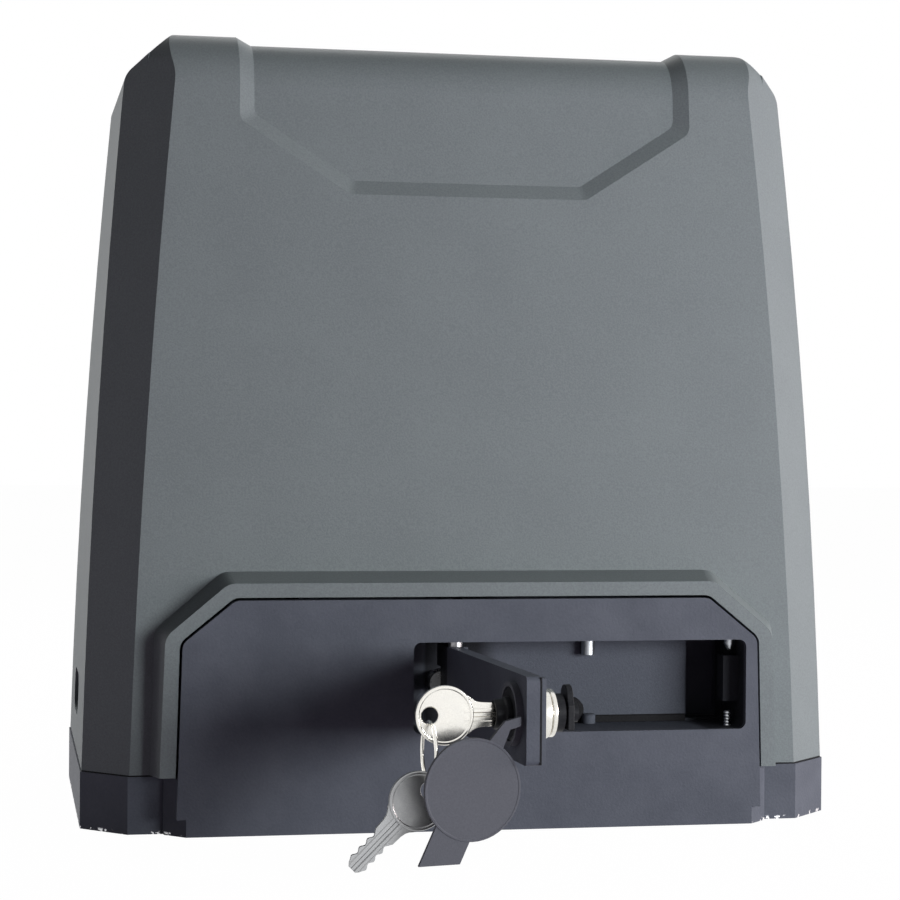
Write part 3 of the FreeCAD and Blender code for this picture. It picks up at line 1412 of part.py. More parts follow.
def motor():
    outer = s.motor_diameter / 2
    at = (worm_x, s.wheel_y, 0)
    seat = 16
    node(bearing("worm_bearing_form", s.motor_shaft / 2 + s.fit_gap, 14, 8, (worm_x, s.wheel_y, 13), "+Z"), "worm_bearing")
    # lower bell: a flange on the lid, a bearing seat and a wall up to the stack
    lower = turned("lower_bell_form", [
        (seat, lid_top), (outer + 2, lid_top), (outer + 2, lid_top + 6), (outer, lid_top + 6), (outer, bell_top),
        (outer - 5, bell_top), (outer - 5, lid_top + 6), (seat + 4, lid_top + 6), (seat + 4, lid_top + 12),
        (seat, lid_top + 12),
    ], at)
    spots = []
    for side in (-1, 1):
        for end in (-1, 1):
            reach = (outer + 4) * 0.7071
            spots.append((worm_x + reach * side, s.wheel_y + reach * end))
    lugs, holes = [], []
    for level, low in (("low", lid_top), ("high", motor_top - 11)):
        for i, (x, y) in enumerate(spots):
            lugs.append(cylinder("lug_%s_%d" % (level, i), 5.5, 6, (x, y, low)))
            holes.append(cylinder("lug_hole_%s_%d" % (level, i), 2.05, 8, (x, y, low - 1)))
    node(cut("lower_bell", fuse("lower_bell_solid", lower, *lugs[:4]), *holes[:4]), "motor_lower_bell")
    upper = turned("upper_bell_form", [
        (outer - 5, stack_top), (outer, stack_top), (outer, motor_top - 5), (outer - 5, motor_top),
        (9, motor_top), (9, motor_top - 4), (seat, motor_top - 4), (seat, motor_top - 14),
        (seat + 4, motor_top - 14), (seat + 4, motor_top - 5), (outer - 5, motor_top - 5),
    ], at)
    vents = [
        box("vent_%d" % i, (worm_x - 60, s.wheel_y - 4 + i * 18, stack_top + 5), (120, 8, 9))
        for i in (-1, 0, 1)
    ]
    node(cut("upper_bell", fuse("upper_bell_solid", upper, *lugs[4:]), *vents, *holes[4:]), "motor_upper_bell")
    stack = prism_ring(outer, outer - 15)
    node(stack, "motor_stator")
    winding_low = tube("winding_low", outer - 6, outer - 15, 14, (worm_x, s.wheel_y, bell_top - 14))
    winding_high = tube("winding_high", outer - 6, outer - 15, 14, (worm_x, s.wheel_y, stack_top))
    node(group("windings", winding_low, winding_high), "motor_windings")
    rotor = tube(
        "rotor_form", outer - 15.5, s.motor_shaft / 2, s.stator_length - 2, (worm_x, s.wheel_y, bell_top + 1)
    )
    node(group("rotor_placed", rotor), "motor_rotor")
    shaft_r = s.motor_shaft / 2 + s.fit_gap
    node(bearing("lower_motor_bearing_form", shaft_r, seat, 10, (worm_x, s.wheel_y, lid_top + 1), "+Z"),
         "motor_lower_bearing")
    node(bearing("upper_motor_bearing_form", shaft_r, seat, 10, (worm_x, s.wheel_y, motor_top - 14.2), "+Z"),
         "motor_upper_bearing")
    bolts = [
        fuse(
            "motor_bolt_%d" % i,
            cylinder("motor_bolt_shank_%d" % i, 2, motor_top - 5 - lid_top, (x, y, lid_top)),
            cylinder("motor_bolt_head_%d" % i, 3.6, 4, (x, y, motor_top - 5)),
        )
        for i, (x, y) in enumerate(spots)
    ]
    return bolts


def prism_ring(outer, inner):
    """Laminated stator: round outside with four flats, round bore."""
    flat = outer * 0.93
    body = tube("stack_form", outer, inner, s.stator_length, (worm_x, s.wheel_y, bell_top))
    blocks = [
        box("stack_flat_x", (worm_x + flat, s.wheel_y - outer, bell_top - 1), (20, outer * 2, s.stator_length + 2)),
        box("stack_flat_x2", (worm_x - flat - 20, s.wheel_y - outer, bell_top - 1), (20, outer * 2, s.stator_length + 2)),
    ]
    return cut("stack", body, *blocks)


def case_lid():
    body = new_body("lid_body")
    outline = [
        (case_low_x, case_y), (case_high_x, case_y), (case_high_x, case_back), (case_low_x, case_back),
    ]
    pad(body, "lid", "XY_Plane", s.case_height, outline, s.lid_thick, circles=[])
    pocket(
        body, "lid_bore", "XY_Plane", s.case_height - 1, None, 30, back=True,
        circles=[(worm_x, s.wheel_y, 13)],
    )
    node(body, "gear_case_lid")
    screws = []
    for x in (case_low_x + 8, case_high_x - 8):
        for y in (case_y + 8, case_back - 8):
            number_of = len(screws)
            screws.append(cylinder(
                "lid_screw_%d" % number_of, 5, 5, (x, y, s.case_height + s.lid_thick)
            ))
    node(group("lid_screw_set", *screws), "lid_screws")


# ---------------------------------------------------------------- electronics

def electronics():
    floor = s.plinth_floor
    # transformer on the floor, between the gear case and the left screw post
    wide, deep, high, coil = 54, 38, 46, 9
    tx, ty = case_low_x - 2 - wide / 2, s.recess_y - 9.5 - deep / 2
    core = box("transformer_core", (tx - wide / 2, ty - deep / 2, floor), (wide, deep, high))
    node(core, "transformer_core")
    coil_low = box("coil_front", (tx - 16, ty - deep / 2 - coil, floor + 7), (32, coil, high - 14))
    coil_high = box("coil_back", (tx - 16, ty + deep / 2, floor + 7), (32, coil, high - 14))
    node(group("coils", coil_low, coil_high), "transformer_coils")
    # capacitor in its clamp, standing on the lid
    cap_r, clamp_wall, clamp_floor = s.capacitor_diameter / 2, 2, 3
    cx, cy = case_low_x + 26, case_back - 34
    node(cylinder("capacitor_form", cap_r, s.capacitor_height, (cx, cy, lid_top + clamp_floor)), "capacitor")
    clamp = fuse(
        "clamp_form",
        tube("clamp_ring", cap_r + clamp_wall, cap_r, 14, (cx, cy, lid_top)),
        cylinder("clamp_floor", cap_r + 1, clamp_floor, (cx, cy, lid_top)),
    )
    node(clamp, "capacitor_clamp")
    # control board on a plastic bracket standing on the lid, left of the motor
    left, right = s.board_in - half_w, worm_x - s.motor_diameter / 2 - 10.5
    bx, by, wall, thick = (left + right) / 2, s.wheel_y - 20, 3, 1.6
    stud_out = (right - left) / 2 - 8
    studs = [
        cylinder(
            "board_stud_%d_%d" % (side + 1, row), 3, s.board_standoff,
            (bx + stud_out * side, by, lid_top + rise), "-Y",
        )
        for side in (-1, 1) for row, rise in enumerate((10, s.bracket_height - 10))
    ]
    bracket = fuse(
        "bracket_form",
        box("bracket_wall", (left, by, lid_top), (right - left, wall, s.bracket_height)),
        box("bracket_foot", (case_low_x + 2, by, lid_top), (50, 30, wall)),
        *studs,
    )
    node(bracket, "board_bracket")
    front = by - s.board_standoff - thick
    board = box("board_form", (left + 2, front, lid_top + 4), (right - left - 4, thick, s.bracket_height - 8))
    node(board, "control_board")
    terminals = [
        box("terminal_%d" % i, (bx - 52 + i * 26, front - 10, lid_top + 8), (24, 10, 14)) for i in range(4)
    ]
    node(group("terminals", *terminals), "terminal_blocks")
    relays = [
        box("relay_%d" % i, (bx - 50 + i * 24, front - 16, lid_top + 90), (20, 16, 16)) for i in range(3)
    ]
    chip = box("chip_form", (bx - 10, front - 3, lid_top + 50), (30, 3, 12))
    glass_fuse = cylinder("fuse_form", 3.4, 26, (bx - 46, front - 3.4, lid_top + 60), "+X")
    node(group("board_components_set", chip, glass_fuse, *relays), "board_components")
    node(box("receiver_form", (bx + 26, front - 8, lid_top + 60), (28, 8, 24)), "radio_receiver")
    # gate position sensor behind the cover's back wall, above the shaft
    sensor = fuse(
        "sensor_form",
        box("sensor_body", (shaft_x + 14, case_back - 8, lid_top), (48, 6, 30)),
        box("sensor_foot", (shaft_x + 14, case_back - 24, lid_top), (48, 17, 3)),
    )
    node(sensor, "limit_sensor")


def base_fittings():
    """Levelling screws in the floor and the grommet in the cable entry."""
    screws = []
    for side in (-1, 1):
        for end in (-1, 1):
            x, y = s.slot_pitch_x / 2 * side, s.level_pitch_y / 2 * end
            screws.append(cylinder(
                "level_screw_%d_%d" % (side + 1, end + 1), s.level_thread / 2, 18, (x, y, 0.2)
            ))
    node(group("level_screws", *screws), "levelling_screws")
    radius = s.cable_hole / 2
    node(turned("grommet_form", [
        (radius - 6, 1), (radius, 1), (radius, s.plinth_floor), (radius + 4, s.plinth_floor),
        (radius + 4, s.plinth_floor + 3), (radius - 6, s.plinth_floor + 3),
    ], (cable_x, cable_y, 0)), "cable_grommet")


# ---------------------------------------------------------------- build and write

def main():
    base_housing()
    cover()
    cover_fixings()
    release_lever()
    lock()
    keys()
    keyhole_cap()
    release_train()
    output_pinion()
    worm_and_wheel()
    bolts = motor()
    node(group("motor_bolt_set", *bolts), "motor_bolts")
    case_lid()
    electronics()
    base_fittings()
    doc.recompute()
    for thing in doc.Objects:
        if "Invalid" in thing.State or "Error" in thing.State:
            raise RuntimeError("%s is %s" % (thing.Name, thing.State))
    os.makedirs("parts", exist_ok=True)
    for thing in nodes:
        if thing.Shape.isNull() or not thing.Shape.isValid():
            raise RuntimeError(thing.Label + " has no valid shape")
        thing.Shape.exportStep("parts/%s.step" % thing.Label)
        print(thing.Label, len(thing.Shape.Solids), round(thing.Shape.Volume))


main()
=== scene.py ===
"""Looks of the sliding gate motor: finishes, softened edges, small fittings, lock, keys, studio, camera.

Metres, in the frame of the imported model.  Small pieces are drawn in millimetres and scaled by MM.
"""
import json
import math

import bmesh
import bpy
from mathutils import Matrix, Vector


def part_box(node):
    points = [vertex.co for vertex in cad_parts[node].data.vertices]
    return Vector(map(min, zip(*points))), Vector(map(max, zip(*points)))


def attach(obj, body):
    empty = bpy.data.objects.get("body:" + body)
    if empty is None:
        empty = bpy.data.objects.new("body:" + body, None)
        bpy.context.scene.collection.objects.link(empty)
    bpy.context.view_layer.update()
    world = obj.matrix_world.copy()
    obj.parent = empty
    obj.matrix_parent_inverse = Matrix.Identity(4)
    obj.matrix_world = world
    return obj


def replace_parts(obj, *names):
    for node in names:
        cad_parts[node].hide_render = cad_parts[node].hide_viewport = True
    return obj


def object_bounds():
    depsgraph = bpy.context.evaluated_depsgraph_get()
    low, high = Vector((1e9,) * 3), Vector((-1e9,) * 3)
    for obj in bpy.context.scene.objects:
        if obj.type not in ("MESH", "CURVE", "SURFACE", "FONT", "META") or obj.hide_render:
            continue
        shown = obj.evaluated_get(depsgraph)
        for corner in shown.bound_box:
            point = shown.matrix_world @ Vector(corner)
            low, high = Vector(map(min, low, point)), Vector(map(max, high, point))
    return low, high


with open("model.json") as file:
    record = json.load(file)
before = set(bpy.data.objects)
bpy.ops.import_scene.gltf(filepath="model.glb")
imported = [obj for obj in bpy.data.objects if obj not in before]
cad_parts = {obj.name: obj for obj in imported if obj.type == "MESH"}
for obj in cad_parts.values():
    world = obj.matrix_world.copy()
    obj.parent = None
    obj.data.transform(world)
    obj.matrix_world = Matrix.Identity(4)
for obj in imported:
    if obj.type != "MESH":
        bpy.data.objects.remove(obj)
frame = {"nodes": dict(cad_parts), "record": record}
cad_low, cad_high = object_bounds()
MM = 0.001


def srgb(red, green, blue):
    """A colour written as 0 to 255 on a screen, in the linear values that shaders take."""
    def linear(level):
        share = level / 255
        return share / 12.92 if share <= 0.04045 else ((share + 0.055) / 1.055) ** 2.4
    return (linear(red), linear(green), linear(blue), 1.0)


# ---------------------------------------------------------------- shader maths

class Level:
    """A number that changes over a surface.  Arithmetic on it adds Math nodes to its tree."""

    def __init__(self, board, socket):
        self.board = board
        self.socket = socket

    def __add__(self, other):
        return self.board.math("ADD", self, other)

    __radd__ = __add__

    def __sub__(self, other):
        return self.board.math("SUBTRACT", self, other)

    def __rsub__(self, other):
        return self.board.math("SUBTRACT", other, self)

    def __mul__(self, other):
        return self.board.math("MULTIPLY", self, other)

    def __or__(self, other):
        return self.board.math("MAXIMUM", self, other)

    def over(self, edge, soft):
        """0 below an edge and 1 above it, blended over a soft width."""
        return self.board.add(
            "ShaderNodeMapRange", {"interpolation_type": "SMOOTHSTEP"},
            self, edge - soft / 2, edge + soft / 2, 0.0, 1.0,
        )


class Board:
    """A node tree that is filled through one method."""

    def __init__(self, tree):
        self.tree = tree

    def link(self, socket, value):
        if isinstance(value, Level):
            value = value.socket
        if isinstance(value, bpy.types.NodeSocket):
            self.tree.links.new(value, socket)
        else:
            socket.default_value = value

    def add(self, kind, settings, *values, out=0, **named):
        """A node: its settings first, then its sockets, filled in order or by name."""
        node = self.tree.nodes.new(kind)
        for key, setting in settings.items():
            if key == "stops":
                for place, (spot, tone) in enumerate(setting):
                    if place == len(node.color_ramp.elements):
                        node.color_ramp.elements.new(spot)
                    node.color_ramp.elements[place].position = spot
                    node.color_ramp.elements[place].color = (tone, tone, tone, 1.0)
            else:
                setattr(node, key, setting)
        open_sockets = [socket for socket in node.inputs if socket.enabled]
        for socket, value in zip(open_sockets, values):
            self.link(socket, value)
        for key, value in named.items():
            self.link(node.inputs[key.replace("_", " ")], value)
        outputs = [socket for socket in node.outputs if socket.enabled]
        return Level(self, outputs[out])

    def math(self, operation, first, second):
        return self.add("ShaderNodeMath", {"operation": operation}, first, second)

    def mix(self, share, first, second):
        """A colour between two colours."""
        return self.add("ShaderNodeMix", {"data_type": "RGBA"}, share, first, second)

    def ramp(self, level, *stops):
        return self.add("ShaderNodeValToRGB", {"stops": stops}, level)


class Finish(Board):
    """One material, built on the Principled shader."""

    def __init__(self, name, colour, roughness, metallic=0.0, specular=0.4):
        self.material = bpy.data.materials.new(name)
        self.material.use_nodes = True
        super().__init__(self.material.node_tree)
        self.shader = self.tree.nodes["Principled BSDF"]
        self.place = self.add("ShaderNodeTexCoord", {}, out=3)
        self.give("Base Color", colour)
        self.give("Roughness", roughness)
        self.give("Metallic", metallic)
        self.give("Specular IOR Level", specular)

    def give(self, name, value):
        self.link(self.shader.inputs[name], value)

    def along(self, axis):
        """Position along X, Y or Z, in metres."""
        return self.add("ShaderNodeSeparateXYZ", {}, self.place, out=axis)

    def noise(self, size, detail=2.0, roughness=0.5):
        """Cloudy noise whose patches are about a size across."""
        return self.add(
            "ShaderNodeTexNoise", {}, Vector=self.place, Scale=1 / size, Detail=detail,
            Roughness=roughness,
        )

    def bump(self, level, height):
        """Raises the surface by a height where the level is 1."""
        raised = self.add("ShaderNodeBump", {}, Strength=1.0, Distance=height, Height=level)
        self.give("Normal", raised)


# ---------------------------------------------------------------- finishes

def moulded(name, colour, light, grain, roughness, specular=0.09):
    """Moulded plastic or rubber: spark-eroded grain and a faint cloudy tone."""
    f = Finish(name, colour, roughness, specular=specular)
    cloud = f.noise(38 * MM, 4.0, 0.6)
    speck = f.noise(0.7 * MM, 2.0, 0.6)
    tone = f.ramp(cloud * 0.25 + speck * 0.75, (0.38, 0.0), (0.62, 1.0))
    f.give("Base Color", f.mix(tone, colour, light))
    f.give("Roughness", roughness + (speck - 0.5) * 0.15)
    f.bump(speck, grain)
    return f.material


def cast_paint(name, colour, light, bare, recess_shade):
    """Powder coat on a casting: smooth outside, gritty in the compartment, with painted shade at the
    compartment's two ends, chipped along the foot.
    """
    f = Finish(name, colour, 0.5, specular=0.09)
    across, depth, height = (f.along(axis) for axis in range(3))
    peel = f.noise(1.1 * MM, 3.0, 0.55)
    grit = f.noise(0.8 * MM, 4.0, 0.75)
    cloud = f.noise(24 * MM, 3.0, 0.6)
    # the compartment, behind the panel's face and either side of its middle
    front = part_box("base_housing")[0].y
    middle, half_width = 50 * MM, 66 * MM
    behind = depth.over(front + 3 * MM, 2 * MM) * (1 - depth.over(front + 40 * MM, 3 * MM))
    inside = behind * (1 - f.math("ABSOLUTE", across - middle, 0.0).over(half_width, 2 * MM))
    tone = f.ramp(cloud * 0.7 + peel * 0.3, (0.38, 0.0), (0.64, 1.0))
    rough_tone = f.ramp(grit * 0.8 + cloud * 0.2, (0.36, 0.0), (0.66, 1.0))
    shown = f.mix(tone + (rough_tone - tone) * inside, colour, light)
    # painted shade: its two ends are darkened towards near-black, as if the light hardly reaches them
    ends = (1 - across.over(11 * MM, 12 * MM)) | across.over(98 * MM, 5 * MM)
    shown = f.mix(ends * inside * 0.85, shown, recess_shade)
    # chips on the plinth's lower corners
    corner = f.math("ABSOLUTE", across, 0.0).over(119 * MM, 6 * MM)
    edge_low = 1 - height.over(1.3 * MM, 1.0 * MM)
    chips = f.noise(3.2 * MM, 3.0, 0.7).over(0.58, 0.02) * edge_low * corner
    f.give("Base Color", f.mix(chips, shown, bare))
    f.give("Metallic", chips)
    f.give("Roughness", 0.5 + (peel - 0.5) * 0.2 + inside * 0.12)
    f.bump(peel + (grit * 2.4 - peel) * inside, 0.09 * MM)
    return f.material


def metal(name, colour, dark, roughness, grain=0.4 * MM, height=0.006 * MM):
    """Bare or plated metal with fine, uneven polish."""
    f = Finish(name, colour, roughness, metallic=1.0)
    scuff = f.noise(grain, 4.0, 0.65)
    patch = f.noise(4 * MM, 2.0)
    f.give("Roughness", roughness + (patch - 0.5) * 0.18)
    tone = f.ramp(scuff * 0.5 + patch * 0.5, (0.35, 0.0), (0.65, 1.0))
    f.give("Base Color", f.mix(tone, colour, dark))
    f.bump(scuff, height)
    return f.material


FINISHES = {
    "cover_plastic": moulded("cover_plastic", srgb(110, 117, 119), srgb(119, 127, 128), 0.05 * MM, 0.5),
    "cast_black": cast_paint(
        "cast_black", srgb(78, 82, 91), srgb(88, 92, 101),
        # the last colour is painted shade for the compartment's two ends
        bare=srgb(200, 200, 202), recess_shade=srgb(14, 14, 17),
    ),
    "cast_bare": metal("cast_bare", srgb(176, 178, 180), srgb(150, 152, 155), 0.42, 1.2 * MM, 0.05 * MM),
    "steel": metal("steel", srgb(168, 168, 170), srgb(140, 140, 143), 0.3),
    "nickel": metal("nickel", srgb(240, 238, 232), srgb(222, 219, 212), 0.2),
    "worn_nickel": metal("worn_nickel", srgb(164, 165, 166), srgb(148, 149, 151), 0.36),
    "zinc": metal("zinc", srgb(196, 199, 203), srgb(174, 178, 184), 0.3),
    "black_steel": moulded("black_steel", srgb(30, 31, 34), srgb(38, 39, 42), 0.02 * MM, 0.42),
    "grey_rubber": moulded("grey_rubber", srgb(80, 82, 89), srgb(86, 88, 95), 0.02 * MM, 0.72, 0.2),
    "black_rubber": moulded("black_rubber", srgb(30, 30, 32), srgb(38, 38, 40), 0.05 * MM, 0.8),
    "bronze": metal("bronze", srgb(190, 140, 84), srgb(164, 116, 66), 0.35),
    "copper": metal("copper", srgb(170, 92, 56), srgb(140, 70, 42), 0.4),
    "lamination": metal("lamination", srgb(108, 110, 114), srgb(86, 88, 92), 0.5),
    "board_green": moulded("board_green", srgb(24, 84, 48), srgb(30, 96, 56), 0.01 * MM, 0.3),
    "terminal_green": moulded("terminal_green", srgb(52, 128, 70), srgb(60, 138, 78), 0.01 * MM, 0.5),
    "component_black": moulded("component_black", srgb(30, 31, 34), srgb(38, 39, 42), 0.01 * MM, 0.4),
    "capacitor_white": moulded(
        "capacitor_white", srgb(214, 214, 210), srgb(222, 222, 218), 0.01 * MM, 0.4,
    ),
    "dark_plastic": moulded("dark_plastic", srgb(44, 46, 50), srgb(52, 54, 58), 0.03 * MM, 0.6),
}

# pieces that are darker than the rest of their material
OWN_FINISH = {"lock_body": "black_steel", "lock_plug": "black_steel", "tongue_screw": "black_steel"}

# widths of softened edges, in millimetres
COMMON_EDGE = 0.25
EDGES = {
    "cover": 0.8, "base_housing": 0.9, "release_lever": 0.6, "lever_back_plate": 0.5,
    "lock_body": 0.4, "keyhole_cap_ring": 0.4,
}


def soften(piece, width):
    """Rounds a piece's sharp edges by a width in millimetres."""
    soft = piece.modifiers.new("soft_edges", "BEVEL")
    soft.width = width * MM
    soft.segments = 3
    soft.limit_method = "ANGLE"
    soft.angle_limit = math.radians(25)
    soft.harden_normals = True


def dress_frame():
    """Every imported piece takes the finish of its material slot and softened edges."""
    slots = {part["node"]: part["material_slot"] for part in frame["record"]["subparts"]}
    for name, piece in frame["nodes"].items():
        piece.data.materials.clear()
        piece.data.materials.append(FINISHES[OWN_FINISH.get(name, slots[name])])
        soften(piece, EDGES.get(name, COMMON_EDGE))


# ---------------------------------------------------------------- ways to make a piece

def keep(name, made, finish, body, width=0.2):
    """Turns finished mesh work into a piece that rides on a body, with edges softened by a width."""
    bmesh.ops.recalc_face_normals(made, faces=made.faces)
    mesh = bpy.data.meshes.new(name)
    made.to_mesh(mesh)
    made.free()
    for face in mesh.polygons:
        face.use_smooth = True
    mesh.materials.append(FINISHES[finish])
    piece = bpy.data.objects.new(name, mesh)
    bpy.context.scene.collection.objects.link(piece)
    soften(piece, width)
    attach(piece, body)
    return piece


def turned(name, profile, place, finish, body="base", turn=Matrix.Identity(4)):
    """A turned piece: profile gives (radius, height), in millimetres, from its foot at place."""
    made = bmesh.new()
    spots = [made.verts.new(Vector((radius, 0, height)) * MM) for radius, height in profile]
    edges = [made.edges.new(pair) for pair in zip(spots, spots[1:])]
    bmesh.ops.spin(
        made, geom=spots + edges, axis=(0, 0, 1), cent=(0, 0, 0), angle=math.tau, steps=36,
    )
    bmesh.ops.remove_doubles(made, verts=made.verts, dist=1e-6)
    made.transform(Matrix.Translation(Vector(place) * MM) @ turn)
    return keep(name, made, finish, body)


def stud(radius, pitch, length, depth=0.3):
    """The profile of a stud: a groove for each turn of its thread, and a chamfered tip."""
    tip = radius * 0.4
    profile = [(0, 0), (radius, 0)]
    for turn in range(int((length - tip) / pitch)):
        foot = turn * pitch
        low, middle, high = (foot + pitch * share for share in (0.1, 0.5, 0.9))
        profile += [(radius, low), (radius - depth, middle), (radius, high)]
    return profile + [(radius, length - tip), (radius - tip, length), (0, length)]


def bands(made, loops, closed=False):
    """Joins loops of points with bands of faces, and closes the row on itself or caps both its ends."""
    rows = [[made.verts.new(spot) for spot in loop] for loop in loops]
    for row, after in zip(rows, rows[1:] + (rows[:1] if closed else [])):
        for spot in range(len(row)):
            made.faces.new((row[spot - 1], row[spot], after[spot], after[spot - 1]))
    if not closed:
        made.faces.new(rows[0])
        made.faces.new(rows[-1][::-1])


def circle(radius, height, middle=0.0):
    """A circle that lies across X at a height."""
    angles = [math.tau * step / 56 for step in range(56)]
    return [Vector((height, middle + radius * math.cos(a), radius * math.sin(a))) for a in angles]


def mirrored(loops):
    """Loops of points turned over to the other side of X = 0, in the opposite order."""
    return [[Vector((-spot.x, spot.y, spot.z)) for spot in loop] for loop in loops[::-1]]


def slab(made, outline, half):
    """A flat plate across X: outline gives (y, z) corners, and half is half its thickness."""
    bands(made, [[Vector((side * half, y, z)) for y, z in outline] for side in (1, -1)])


# ---------------------------------------------------------------- small fittings in the compartment

def fit_compartment():
    """Screw ends, a rubber stop, and a black strip at the foot of the back wall as painted shade, in the
    release compartment.
    """
    floor, roof, wall = 39.5, 76.6, -71.0
    keeper_y = -88.4
    turned(
        "roof_pin", [(0, 0), (2.9, 0), (2.9, 7.2), (2.2, 8.0), (0, 8.2)],
        (53.4, -74.4, roof - 8.2), "zinc",
    )
    turned(
        "floor_block", [(0, 0), (2.9, 0), (2.9, 3.4), (2.3, 4.0), (0, 4.1)],
        (53.8, -74.6, floor), "cast_black",
    )
    turned(
        "rubber_stop", [(0, 0), (5.2, 0), (5.5, 0.6), (5.2, 3.4), (4.0, 4.4), (0, 4.8)],
        (46.6, wall, floor + 5.6), "black_rubber", turn=Matrix.Rotation(math.pi / 2, 4, "X"),
    )
    turned(
        "keeper_screw_end", [(0, 0), (1.1, 0.3), (2.3, 2.6), (2.4, 5.6), (0, 5.6)],
        (111.1, keeper_y, roof - 5.6), "zinc",
    )
    turned("keeper_stud", stud(1.6, 1.3, 6.4), (110.4, keeper_y, floor), "zinc")
    # painted shade: a black rubber strip at the foot of the back wall stands for the shade on the
    # compartment's floor
    shade_strip = bmesh.new()
    slab(shade_strip, [(0, 0), (-1.1, 0), (-1.1, 2.4), (-0.6, 3.0), (0, 3.1)], 20.0)
    shade_strip.transform(Matrix.Scale(MM, 4) @ Matrix.Translation((77.0, wall, floor)))
    keep("painted_shade_strip", shade_strip, "black_rubber", "base")


# ---------------------------------------------------------------- lock, keys and dust cap

# frame of the open lever, in millimetres: +X from its pin to its free end, +Y to its inner side
LEVER = Matrix.Translation((-8.0, -97.05, 0)) @ Matrix.Rotation(math.radians(-87), 4, "Z")
OUTER, INNER = -3.75, 3.75
LOCK_AT, LOCK_HEIGHT = 104.0, 59.5
FLANGE = 2.2
BOW_AT = OUTER - 26.4
HOLE_OUT = 5.5
SPARE_HOLE_HEIGHT = 32.7
SPARE_TILT = math.radians(180 + 44.5)


def settle(name, made, place, finish, body, width, node):
    """Places a piece drawn in the lever's frame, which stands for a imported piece."""
    made.transform(Matrix.Scale(MM, 4) @ LEVER @ place)
    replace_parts(keep(name, made, finish, body, width), node)


def on_lock(name, profile, foot, finish, side):
    """A turned piece on the lock's axis, towards the lever's inner side (1) or outer side (-1)."""
    turn = LEVER.to_3x3().to_4x4() @ Matrix.Rotation(-side * math.pi / 2, 4, "X")
    return turned(name, profile, LEVER @ Vector((LOCK_AT, foot, LOCK_HEIGHT)), finish, "lever", turn)


def fit_lock():
    """Rounded nut and ring, the key's collar, the seam on the lever's end, and the short tongue."""
    bore, nut_thick = 7.05, 4.5
    nut = on_lock("round_nut", [
        (bore, 0), (8.7, 0), (9.2, 0.3), (9.4, 1.0), (9.4, 3.6), (9.2, 4.2), (8.7, nut_thick),
        (bore, nut_thick), (bore, 0),
    ], INNER, "nickel", 1)
    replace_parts(nut, "lock_nut")
    ring = on_lock("round_ring", [
        (bore, 0), (8.3, 0), (8.8, 0.3), (8.9, 0.8), (8.9, 1.5), (8.7, 1.9), (8.2, 2.1), (bore, 2.1),
        (bore, 0),
    ], INNER + nut_thick + 0.1, "nickel", 1)
    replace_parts(ring, "lock_lock_ring")
    guide = 4.4
    on_lock("key_collar", [
        (guide, 0), (6.4, 0), (6.4, 2.0), (5.5, 2.6), (5.5, 5.6), (5.1, 6.0), (guide, 6.0), (guide, 0),
    ], OUTER - FLANGE, "black_steel", -1)

    seam = bmesh.new()
    slab(seam, [(1.25, 42.8), (1.95, 42.8), (1.95, 74.2), (1.25, 74.2)], 0.3)
    seam.transform(Matrix.Scale(MM, 4) @ LEVER @ Matrix.Translation((119.8, 0, 0)))
    keep("plate_seam", seam, "black_rubber", "lever", 0.05)

    tongue = bmesh.new()
    half, reach, tip = 6.0, 10.4, 4.4
    angles = (0, 0.4, 0.8, 1.2, 1.6, 2.0, 2.4, 2.8, 3.1)
    end = [(tip * math.cos(a), reach - tip + tip * math.sin(a)) for a in angles]
    slab(tongue, [(-half, -half), (half, -half), (half, 3), *end, (-half, 3)], 1.25)
    place = Matrix.Translation((LOCK_AT, INNER + 12.25, LOCK_HEIGHT))
    upright = Matrix.Rotation(math.pi / 2, 4, "Z")
    settle("short_tongue", tongue, place @ upright, "black_steel", "lock_core", 0.4, "lock_tongue")


def fit_cap():
    """The dust cap: a rimmed disc, its pull tab and the narrow strap that it hangs by."""
    made = bmesh.new()
    radius, rim, face = 18.5, 1.15, 1.0
    top = [circle(radius - 0.9, face), circle(radius - 0.7, rim), circle(radius, rim)]
    bands(made, top + mirrored(top))
    slab(made, [(-20.6, -26.2), (-4.8, -26.2), (2.8, -10.1), (-13.0, -10.1)], 0.9)
    slab(made, [
        (5.6, 16.6), (11.4, 14.0), (13.6, 21.2), (17.6, 22.4), (17.6, 25.8), (11.6, 24.2),
    ], 1.05)
    # the soft disc and tab hang with a slight twist, which fades out along the strap
    for spot in made.verts:
        twist = 1 - max(0.0, min(1.0, (spot.co.z - 14) / 7))
        spot.co.x -= spot.co.y * 0.14 * twist
        spot.co.y *= 1 - 0.01 * twist
    place = Matrix.Translation((117.0, -22.8, 34.3))
    settle("dust_cap", made, place, "grey_rubber", "cap", 0.35, "keyhole_cap")


